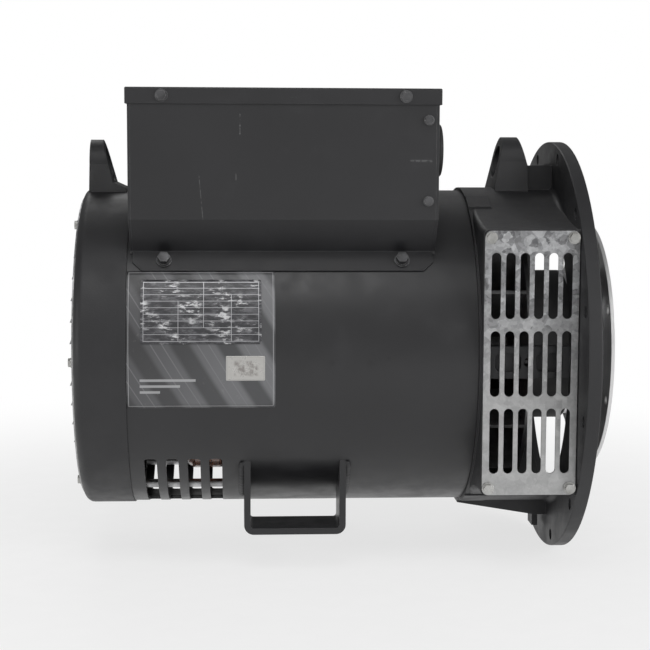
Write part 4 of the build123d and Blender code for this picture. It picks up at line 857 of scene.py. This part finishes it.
@dataclass(frozen=True)
class BandedPrint(Print):
    """Dark film with soft slanted bands, a thin border and a few plain bars.

    Attributes:
        bars: The plain bars.
        border: How far the border is from the sheet's edges, in millimetres.
        border_line: The border's width.
    """

    bars: tuple[Panel, ...] = (
        Panel(12.0, 62.0, 25.0, 27.2),
        Panel(12.0, 48.0, 19.5, 21.7),
        Panel(12.0, 30.0, 14.0, 16.2),
    )
    border: float = 1.6
    border_line: float = 0.5

    def make(self, graph: Graph) -> bpy.types.Material:
        """Writes the print's nodes."""
        flat = self.flat(graph)
        slant = graph.plus(flat.u, graph.times(flat.v, 0.62))
        wave = graph.math("PINGPONG", slant, 21 * MM)
        band = graph.step(wave, 6 * MM, 12.5 * MM)
        thin = graph.between(wave, 15.5 * MM, 16.3 * MM, 0.3 * MM)
        fade = graph.minus(flat.u, graph.times(flat.v, 0.35))
        fade = graph.step(fade, -20 * MM, 120 * MM)
        dark = graph.blend(fade, (0.05, 0.05, 0.052), (0.08, 0.081, 0.085))
        light = graph.blend(fade, (0.095, 0.095, 0.1), (0.19, 0.192, 0.2))
        colour = graph.blend(band, dark, light)
        colour = graph.blend(graph.times(thin, 0.5), colour, (0.24, 0.24, 0.25))
        lines = [flat.block(bar) for bar in self.bars]
        lines.append(flat.outline(self.area().inset(self.border), self.border_line))
        printed = graph.times(graph.most(lines), 0.75)
        colour = graph.blend(printed, colour, (0.5, 0.5, 0.51))
        rub = graph.noise(graph.place, 130.0, 5.0, 0.7)
        colour = graph.blend(graph.step(rub, 0.6, 0.78, 0.0, 0.25), colour, (0.3, 0.3, 0.3))
        rough = graph.step(rub, 0.3, 0.75, 0.28, 0.45)
        ripple = graph.noise(graph.place, 45.0, 2.0)
        normal = graph.bump(ripple, 0.12 * MM)
        return graph.shade(colour, rough, 0.0, normal, Specular_IOR_Level=0.5)


@dataclass(frozen=True)
class RuledPrint(Print):
    """Dark anodised plate with bright ruled boxes left blank, rubbed bright in places.

    Attributes:
        rows: How many rows it is ruled into.
        columns: Each upright line's share of the width, its lower row and its upper row.
        margin: How far the ruling is from the plate's edges, in millimetres.
        line: The width of the outermost line.
    """

    rows: int = 9
    columns: tuple[tuple[float, int, int], ...] = ((0.3, 0, 6), (0.52, 2, 9), (0.76, 0, 7))
    margin: float = 2.4
    line: float = 0.45

    def make(self, graph: Graph) -> bpy.types.Material:
        """Writes the plate's nodes."""
        flat = self.flat(graph)
        ruling = self.area().inset(self.margin)
        step = (ruling.high - ruling.low) / self.rows
        lines = [flat.outline(ruling, self.line)]
        for row in range(1, self.rows):
            y = ruling.low + step * row
            lines.append(flat.block(Panel(ruling.left, ruling.right, y, y + self.line * 0.6)))
        for share, low, high in self.columns:
            x = ruling.left + (ruling.right - ruling.left) * share
            ends = (ruling.low + step * low, ruling.low + step * high)
            lines.append(flat.block(Panel(x, x + self.line * 0.8, *ends)))
        ruled = graph.most(lines)
        where = flat.place()
        drawn = graph.vector("MULTIPLY", where, (0.35, 1.0, 1.0)).outputs["Vector"]
        smear = graph.noise(drawn, 210.0, 5.0, 0.72)
        patch = graph.noise(where, 46.0, 2.0)
        rubbed = graph.times(graph.step(smear, 0.51, 0.6), graph.step(patch, 0.45, 0.58))
        grime = graph.step(smear, 0.4, 0.66)
        ground = graph.blend(grime, (0.04, 0.04, 0.044), (0.15, 0.15, 0.16))
        colour = graph.blend(graph.times(ruled, 0.85), ground, (0.62, 0.62, 0.64))
        colour = graph.blend(graph.times(rubbed, 0.9), colour, (0.74, 0.74, 0.75))
        metal = graph.math("MAXIMUM", graph.times(ruled, 0.6), graph.times(rubbed, 0.5))
        rough = graph.step(smear, 0.3, 0.7, 0.3, 0.48)
        return graph.shade(colour, rough, metal, graph.bump(smear, 0.03 * MM))


@dataclass(frozen=True)
class FoilPrint(Print):
    """A plain silvery patch with a dull smudge.

    Attributes:
        smudged: The part of it that is smudged.
        border: How far the border is from the patch's edges, in millimetres.
        border_line: The border's width.
    """

    smudged: Panel = Panel(9.0, 27.0, 6.0, 16.5)
    border: float = 0.9
    border_line: float = 0.4

    def make(self, graph: Graph) -> bpy.types.Material:
        """Writes the foil's nodes."""
        flat = self.flat(graph)
        smudge = graph.noise(flat.place(), 150.0, 4.0, 0.66)
        middle = flat.block(self.smudged, 3.0)
        dull = graph.times(graph.step(smudge, 0.42, 0.6), middle)
        colour = graph.blend(graph.times(dull, 0.7), (0.52, 0.51, 0.49), (0.2, 0.18, 0.17))
        edge = flat.outline(self.area().inset(self.border), self.border_line)
        colour = graph.blend(graph.times(edge, 0.4), colour, (0.3, 0.3, 0.3))
        rough = graph.step(smudge, 0.3, 0.7, 0.25, 0.4)
        return graph.shade(colour, rough, 0.35, graph.bump(smudge, 0.05 * MM))


def finished(mesh: bmesh.types.BMesh, name: str) -> bpy.types.Object:
    """Turns a bmesh into an object in the scene.

    Args:
        mesh: The bmesh, which is freed.
        name: The object's name.

    Returns:
        The object.
    """
    data = bpy.data.meshes.new(name)
    mesh.to_mesh(data)
    mesh.free()
    piece = bpy.data.objects.new(name, data)
    bpy.context.scene.collection.objects.link(piece)
    return piece


def dress(piece: bpy.types.Object, finish: Finish) -> None:
    """Gives a piece one finish on all of its surface.

    Args:
        piece: The piece, or a CAD node's object.
        finish: What it is finished in.
    """
    piece.data.materials.clear()
    piece.data.materials.append(finish.material())


def place(piece: bpy.types.Object, body: Body, finish: Finish) -> bpy.types.Object:
    """Dresses a piece and lets it ride on its body.

    Args:
        piece: The piece.
        body: The body that carries it.
        finish: What it is finished in.

    Returns:
        The piece.
    """
    dress(piece, finish)
    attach(piece, body.value)
    log.info("piece %s rides on %s in %s", piece.name, body.value, finish.name)
    return piece


def smooth(piece: bpy.types.Object) -> None:
    """Shades a CAD node's curved faces smoothly and leaves its edges sharp."""
    piece.data.shade_smooth()
    piece.data.set_sharp_from_angle(angle=SMOOTH_ANGLE)


CAST_PAINT = BlackPaint(
    "cast_black",
    "black_casting",
    grain=1.5 * MM,
    relief=0.14 * MM,
    roughness=0.5,
    edge=0.5,
)
SHEET_PAINT = BlackPaint(
    "sheet_black",
    "black_sheet",
    grain=1.0 * MM,
    relief=0.018 * MM,
    roughness=0.36,
    dimples=(
        Dimple((-235.9, -153.5, 0.6), 4.0),
        Dimple((-201.6, -153.5, 0.5), 5.5),
        Dimple((-184.4, -153.4, 5.0), 3.0),
    ),
)
BOX_PAINT = BlackPaint(
    "box_black",
    "black_sheet",
    grain=0.9 * MM,
    relief=0.014 * MM,
    roughness=0.4,
    edge=0.6,
    scuffs=(
        Scuff((-318.3, -144.0, 223.0), (-318.4, -144.0, 205.3), 0.5, 0.7),
        Scuff((-355.0, -144.0, 168.0), (-351.6, -144.0, 128.8), 0.45, 0.35),
        Scuff((-322.0, -144.0, 171.6), (-322.0, -144.0, 164.5), 0.4, 0.5),
        Scuff((-166.0, -144.0, 182.0), (-146.1, -144.0, 182.1), 1.6, 0.25),
        Scuff((-330.0, -145.5, 235.3), (-300.0, -145.5, 234.6), 0.6, 0.45),
        Scuff((-275.0, -145.5, 238.2), (-268.0, -145.5, 238.0), 0.7, 0.4),
    ),
)
ZINC = Galvanised("galvanised", "galvanised")
ZINC_SCREW = BareMetal(
    "zinc_screw",
    "zinc_screw",
    colour=(0.52, 0.52, 0.505),
    dark=(0.24, 0.235, 0.22),
    roughness=0.26,
)
BLACK_SCREW = BareMetal(
    "black_screw",
    "black_screw",
    colour=(0.15, 0.15, 0.155),
    dark=(0.045, 0.045, 0.045),
    roughness=0.3,
)
CORE_STEEL = Laminations("lamination", "lamination")
COPPER = VarnishedCopper("winding", "winding")
TURNED_STEEL = BareMetal("turned_steel", "steel", turned=True)
HUB_IRON = BareMetal("hub_iron", "steel", turned=True, raw_up_to=2.4 * MM)
PLAIN_STEEL = BareMetal("plain_steel", "steel", dark=(0.24, 0.24, 0.24), roughness=0.36)
SPRING_STEEL = DiscSteel("spring_steel", "spring_steel")
RACE_STEEL = BareMetal(
    "race_steel", "bearing_steel", colour=(0.7, 0.7, 0.71), roughness=0.14, turned=True
)
CAGE_METAL = BareMetal(
    "cage_metal", "cage", colour=(0.5, 0.42, 0.24), dark=(0.25, 0.2, 0.11), roughness=0.35
)
CAST_ALLOY = BareMetal(
    "fan_alloy",
    "fan_alloy",
    colour=(0.34, 0.34, 0.345),
    dark=(0.16, 0.16, 0.16),
    roughness=0.48,
    relief=0.08 * MM,
)
BOARD = Plastic("board", "insulation", colour=(0.19, 0.065, 0.035), roughness=0.45)
RESIN = Plastic("resin", "potting", colour=(0.02, 0.02, 0.022), roughness=0.3)
TRIMMER_WHITE = Plastic("trimmer_white", "trimmer", colour=(0.62, 0.63, 0.57), roughness=0.38)
RUBBER = Plastic("plug_rubber", "plug", colour=(0.022, 0.022, 0.022), roughness=0.62)


@dataclass
class SubAssembly:
    """A group of CAD nodes that one class dresses.

    Attributes:
        finishes: The names of the nodes that each finish goes on.
    """

    finishes: dict[Finish, tuple[str, ...]] = field(default_factory=dict)

    def dress_nodes(self) -> None:
        """Gives each of the group's nodes its finish."""
        for finish, names in self.finishes.items():
            for name in names:
                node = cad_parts[name]
                smooth(node)
                dress(node, finish)
                log.info("node %s in %s", name, finish.name)

    def build(self) -> None:
        """Dresses the nodes and adds the group's own pieces."""
        self.dress_nodes()


@dataclass
class Housing(SubAssembly):
    """The rolled frame, its two cast brackets, grilles and strap feet.

    Attributes:
        bead: The radius of a weld bead in millimetres.
        ripple: The pitch of a weld bead's ripples.
        ripple_height: How much a ripple adds to the bead, as a share of its size.
        wander: How much the bead's size wanders along its length.
        wander_turn: How far that wandering turns from point to point, in radians.
        run_out: How many points a bead takes to swell to its full size.
        run_out_size: The square of its size at its ends, as a share of the full size.
        flatness: Its height as a share of its width.
    """

    finishes: dict[Finish, tuple[str, ...]] = field(
        default_factory=lambda: {
            SHEET_PAINT: ("stator_frame", "strap_foot_near", "strap_foot_far"),
            CAST_PAINT: ("drive_bracket", "rear_bracket"),
            PLAIN_STEEL: ("core_bars", "tie_rods"),
            ZINC: ("rear_grille", "side_grille_near", "side_grille_far"),
            ZINC_SCREW: ("rear_grille_screws", "grille_screws"),
        }
    )
    bead: float = 3.4
    ripple: float = 2.6
    ripple_height: float = 0.14
    wander: float = 0.05
    wander_turn: float = 1.7
    run_out: int = 3
    run_out_size: float = 0.25
    flatness: float = 0.8

    def build(self) -> None:
        """Dresses the housing and welds its feet on."""
        super().build()
        for side, node in ((Side.NEAR, "strap_foot_near"), (Side.FAR, "strap_foot_far")):
            low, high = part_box(node)
            outer, inner = sorted((abs(low.y), abs(high.y)), reverse=True)
            for end, x, turn in (("rear", low.x, -1), ("drive", high.x, 1)):
                path = self.on_drum(x + turn * 0.4 * self.bead * MM, outer, inner, side)
                bead = self.weld(f"weld_{side.name.lower()}_{end}", path)
                place(bead, Body.STATOR, CAST_PAINT)

    def on_drum(self, x: float, outer: float, inner: float, side: Side) -> list[Vector]:
        """Points along the drum's underside at one place on its length.

        Args:
            x: The place along the drum.
            outer: The outermost distance from the middle plane.
            inner: The innermost one.
            side: The side of the head.

        Returns:
            The points, from the outermost.
        """
        radius = (DRUM_RADIUS + 0.2 * self.bead) * MM
        first = math.acos(outer / radius)
        last = math.acos(inner / radius)
        angles = [first + (last - first) * i / BEAD_POINTS for i in range(BEAD_POINTS + 1)]
        return [
            Vector((x, side.value * radius * math.cos(angle), -radius * math.sin(angle)))
            for angle in angles
        ]

    def weld(self, name: str, path: list[Vector]) -> bpy.types.Object:
        """A rippled bead along a path.

        Args:
            name: The piece's name.
            path: The points that the bead follows.

        Returns:
            The piece.
        """
        mesh = bmesh.new()
        rings = []
        travelled = 0.0
        last = len(path) - 1
        for i, point in enumerate(path):
            before, after = path[max(0, i - 1)], path[min(last, i + 1)]
            travelled += (point - before).length
            out = Vector((0.0, point.y, point.z)).normalized()
            across = (after - before).normalized().cross(out)
            grown = min(i, last - i) / self.run_out
            swell = math.sqrt(min(1.0, self.run_out_size + (1.0 - self.run_out_size) * grown))
            wave = abs(math.sin(math.pi * travelled / (self.ripple * MM)))
            ripple = 1.0 + self.ripple_height * wave
            drift = 1.0 + self.wander * math.sin(i * self.wander_turn)
            size = self.bead * MM * swell * ripple * drift
            ring = []
            for k in range(BEAD_SIDES):
                turn = math.tau * k / BEAD_SIDES
                spoke = across * math.cos(turn) + self.flatness * out * math.sin(turn)
                ring.append(mesh.verts.new(point + size * spoke))
            rings.append(ring)
        for first, second in zip(rings, rings[1:]):
            for k in range(BEAD_SIDES):
                after = (k + 1) % BEAD_SIDES
                quad = (first[k], first[after], second[after], second[k])
                mesh.faces.new(quad).smooth = True
        mesh.faces.new(reversed(rings[0]))
        mesh.faces.new(rings[-1])
        bmesh.ops.recalc_face_normals(mesh, faces=mesh.faces)
        piece = finished(mesh, name)
        finer = piece.modifiers.new("finer", "SUBSURF")
        finer.levels = finer.render_levels = 1
        return piece


@dataclass
class TerminalBox(SubAssembly):
    """The sheet steel box on top, its cover screws and what is inside it."""

    finishes: dict[Finish, tuple[str, ...]] = field(
        default_factory=lambda: {
            BOX_PAINT: ("box_sides", "box_end_rear", "box_end_drive", "box_lid"),
            BLACK_SCREW: ("lid_screws", "panel_screws", "foot_bolts"),
            RUBBER: ("cable_plug",),
            ZINC: ("equipment_tray",),
            BOARD: ("terminal_board",),
            ZINC_SCREW: ("terminal_studs",),
            RESIN: ("regulator_case",),
            TRIMMER_WHITE: tuple(f"regulator_trimmer_{number}" for number in range(1, 5)),
        }
    )


@dataclass
class Windings(SubAssembly):
    """The standing cores and coils inside the housing."""

    finishes: dict[Finish, tuple[str, ...]] = field(
        default_factory=lambda: {
            CORE_STEEL: ("stator_core", "exciter_stator"),
            COPPER: ("stator_winding", "exciter_coils"),
            RACE_STEEL: ("bearing_outer_race", "bearing_balls"),
            CAGE_METAL: ("bearing_cage",),
        }
    )


@dataclass
class TurningGroup(SubAssembly):
    """The shaft and all that turns with it."""

    finishes: dict[Finish, tuple[str, ...]] = field(
        default_factory=lambda: {
            TURNED_STEEL: ("shaft", "clamp_ring"),
            CORE_STEEL: ("rotor_core", "exciter_rotor"),
            COPPER: ("rotor_winding",),
            BOARD: ("coil_supports",),
            CAST_ALLOY: ("rectifier_plate", "cooling_fan"),
            PLAIN_STEEL: ("rectifier_diodes",),
            HUB_IRON: ("coupling_hub",),
            SPRING_STEEL: ("coupling_discs",),
            BLACK_SCREW: ("clamp_bolts",),
            RACE_STEEL: ("bearing_inner_race",),
        }
    )


@dataclass
class DataLabels(SubAssembly):
    """The film, the ruled plate and the foil patch on the drum's near side.

    Attributes:
        film: The banded film.
        plate: The ruled plate.
        foil: The foil patch.
    """

    film: Sheet = Sheet(-420.7, -287.0, 32.3, -15.3, 1.5, 0.02, 0.15)
    plate: Sheet = Sheet(-408.0, -299.3, 28.9, 6.7, 2.5, 0.2, 0.6)
    foil: Sheet = Sheet(-331.3, -296.3, 2.7, -5.7, 0.8, 0.2, 0.1)

    def build(self) -> None:
        """Lays the sheets on the drum."""
        sheets: tuple[tuple[str, Sheet, type[Print], str], ...] = (
            ("label_film", self.film, BandedPrint, "insulation"),
            ("rating_plate", self.plate, RuledPrint, "zinc_screw"),
            ("foil_patch", self.foil, FoilPrint, "insulation"),
        )
        for name, sheet, kind, slot in sheets:
            wide, high = sheet.x1 - sheet.x0, sheet.height()
            finish = kind(f"{name}_print", slot, wide=wide, high=high)
            place(sheet.build(name), Body.STATOR, finish)


@dataclass(frozen=True)
class Lamp:
    """A square lamp that faces the middle of the object.

    Attributes:
        name: The lamp's name.
        offset: Its place, from the middle of the object.
        size: Its side.
        power: Its power in watts.
    """

    name: str
    offset: Point
    size: float
    power: float

    def hang(self, middle: Vector) -> None:
        """Puts the lamp in the scene.

        Args:
            middle: The middle of the object.
        """
        data = bpy.data.lights.new(self.name, "AREA")
        data.size = self.size
        data.energy = self.power
        lamp = bpy.data.objects.new(self.name, data)
        where = middle + Vector(self.offset)
        lamp.location = where
        lamp.rotation_euler = (middle - where).to_track_quat("-Z", "Y").to_euler()
        bpy.context.scene.collection.objects.link(lamp)


def seen_directly(tree: bpy.types.NodeTree, others: tuple[str, ...]) -> Socket:
    """1 for the camera and for the other rays that are named, and 0 for light.

    Args:
        tree: The node tree that asks.
        others: The Light Path outputs that count as the camera does.

    Returns:
        The share that is seen.
    """
    path = tree.nodes.new("ShaderNodeLightPath")
    found = path.outputs["Is Camera Ray"]
    for name in others:
        node = tree.nodes.new("ShaderNodeMath")
        node.operation = "MAXIMUM"
        tree.links.new(found, node.inputs[0])
        tree.links.new(path.outputs[name], node.inputs[1])
        found = node.outputs[0]
    return found


@dataclass
class Studio:
    """The floor, the backdrop, the lamps and the camera.

    Attributes:
        camera_at: The camera's place.
        yaw: How far it looks to the right of straight ahead, in degrees.
        pitch: How far it looks down.
        roll: How far it leans.
        lens: Its focal length in millimetres.
        sensor: The width of its sensor in millimetres.
        floor_half: Half the floor's width.
        floor_middle: The middle of the floor.
        floor_gap: How far the floor is below the object.
        glow: How much of the floor shows as plain white near the object.
        glow_from: The distance from the object at which that share starts to grow.
        glow_full: The distance at which the floor is all white.
        soft_light: The strength of the light from all round.
        lamps: The lamps.
    """

    camera_at: Point = (-0.31918, -1.53122, 0.17888)
    yaw: float = 3.19
    pitch: float = 5.95
    roll: float = 0.21
    lens: float = 85.46
    sensor: float = 36.0
    floor_half: float = 9.0
    floor_middle: tuple[float, float] = (-0.25, 2.0)
    floor_gap: float = 0.3 * MM
    glow: float = 0.72
    glow_from: float = 0.35
    glow_full: float = 1.1
    soft_light: float = 0.22
    lamps: tuple[Lamp, ...] = (
        Lamp("front_lamp", (-0.2, -2.9, 0.9), 2.0, 6.0),
        Lamp("left_lamp", (-2.1, -1.2, 0.4), 1.0, 9.0),
        Lamp("engine_end_lamp", (1.6, -1.3, 0.6), 1.0, 17.0),
        Lamp("top_lamp", (-0.2, -1.3, 1.6), 0.9, 7.5),
        Lamp("back_lamp", (-0.4, 1.6, 1.7), 1.2, 8.0),
    )

    def build(self) -> None:
        """Sets up the studio."""
        self.place_camera()
        self.lay_floor()
        self.light()

    def place_camera(self) -> None:
        """Makes the scene's camera."""
        data = bpy.data.cameras.new("camera")
        data.sensor_width = self.sensor
        data.lens = self.lens
        data.clip_start, data.clip_end = 0.01, 50.0
        camera = bpy.data.objects.new("camera", data)
        bpy.context.scene.collection.objects.link(camera)
        yaw, pitch, roll = (math.radians(value) for value in (self.yaw, self.pitch, self.roll))
        level = math.cos(pitch)
        ahead = Vector((math.sin(yaw) * level, math.cos(yaw) * level, -math.sin(pitch)))
        right = Vector((math.cos(yaw), -math.sin(yaw), 0.0))
        up = right.cross(ahead)
        across = math.cos(roll) * right + math.sin(roll) * up
        upward = math.cos(roll) * up - math.sin(roll) * right
        turn = Matrix((across, upward, -ahead)).transposed()
        camera.matrix_world = Matrix.Translation(self.camera_at) @ turn.to_4x4()
        bpy.context.scene.camera = camera

    def lay_floor(self) -> None:
        """Makes a wide pale floor under the object's lowest point."""
        low = CAD_BOX[0].z - self.floor_gap
        mesh = bmesh.new()
        bmesh.ops.create_grid(mesh, x_segments=8, y_segments=8, size=self.floor_half)
        bmesh.ops.translate(mesh, verts=mesh.verts, vec=(*self.floor_middle, low))
        floor = finished(mesh, "floor")
        graph = Graph("pale_floor")
        grain = graph.noise(graph.place, 30.0, 3.0)
        colour = graph.blend(graph.step(grain, 0.35, 0.7), (0.86, 0.86, 0.86), (0.9, 0.9, 0.9))
        graph.shade(colour, 0.7)
        matt = graph.output.inputs["Surface"].links[0].from_socket
        glow = graph.tree.nodes.new("ShaderNodeEmission")
        glow.inputs["Strength"].default_value = 1.0
        mix = graph.tree.nodes.new("ShaderNodeMixShader")
        seen = seen_directly(graph.tree, ("Is Glossy Ray", "Is Transmission Ray"))
        middle = (CAD_BOX[0] + CAD_BOX[1]) / 2
        away = graph.vector("DISTANCE", graph.place, middle).outputs["Value"]
        share = graph.step(away, self.glow_from, self.glow_full, self.glow, 1.0)
        graph.feed(mix.inputs[0], graph.times(seen, share))
        graph.feed(mix.inputs[1], matt)
        graph.feed(mix.inputs[2], glow.outputs[0])
        graph.feed(graph.output.inputs["Surface"], mix.outputs[0])
        floor.data.materials.append(graph.material)

    def light(self) -> None:
        """Lights the object softly from above, from the sides and from all round."""
        world = bpy.data.worlds.new("studio")
        world.use_nodes = True
        bpy.context.scene.world = world
        tree = world.node_tree
        tree.nodes.clear()
        skies = []
        for strength in (self.soft_light, 1.0):
            sky = tree.nodes.new("ShaderNodeBackground")
            sky.inputs["Color"].default_value = (1.0, 1.0, 1.0, 1.0)
            sky.inputs["Strength"].default_value = strength
            skies.append(sky)
        mix = tree.nodes.new("ShaderNodeMixShader")
        out = tree.nodes.new("ShaderNodeOutputWorld")
        tree.links.new(seen_directly(tree, ("Is Transmission Ray",)), mix.inputs[0])
        for sky, socket in zip(skies, mix.inputs[1:]):
            tree.links.new(sky.outputs[0], socket)
        tree.links.new(mix.outputs[0], out.inputs[0])
        for lamp in self.lamps:
            lamp.hang((CAD_BOX[0] + CAD_BOX[1]) / 2)


def main() -> None:
    """Builds the studio and dresses each sub-assembly in order."""
    logging.basicConfig(level=logging.INFO, format="%(name)s: %(message)s")
    bpy.context.scene.view_settings.view_transform = "Standard"
    Studio().build()
    for group in (Housing(), TerminalBox(), Windings(), TurningGroup(), DataLabels()):
        group.build()


if __name__ == "__main__":
    main()
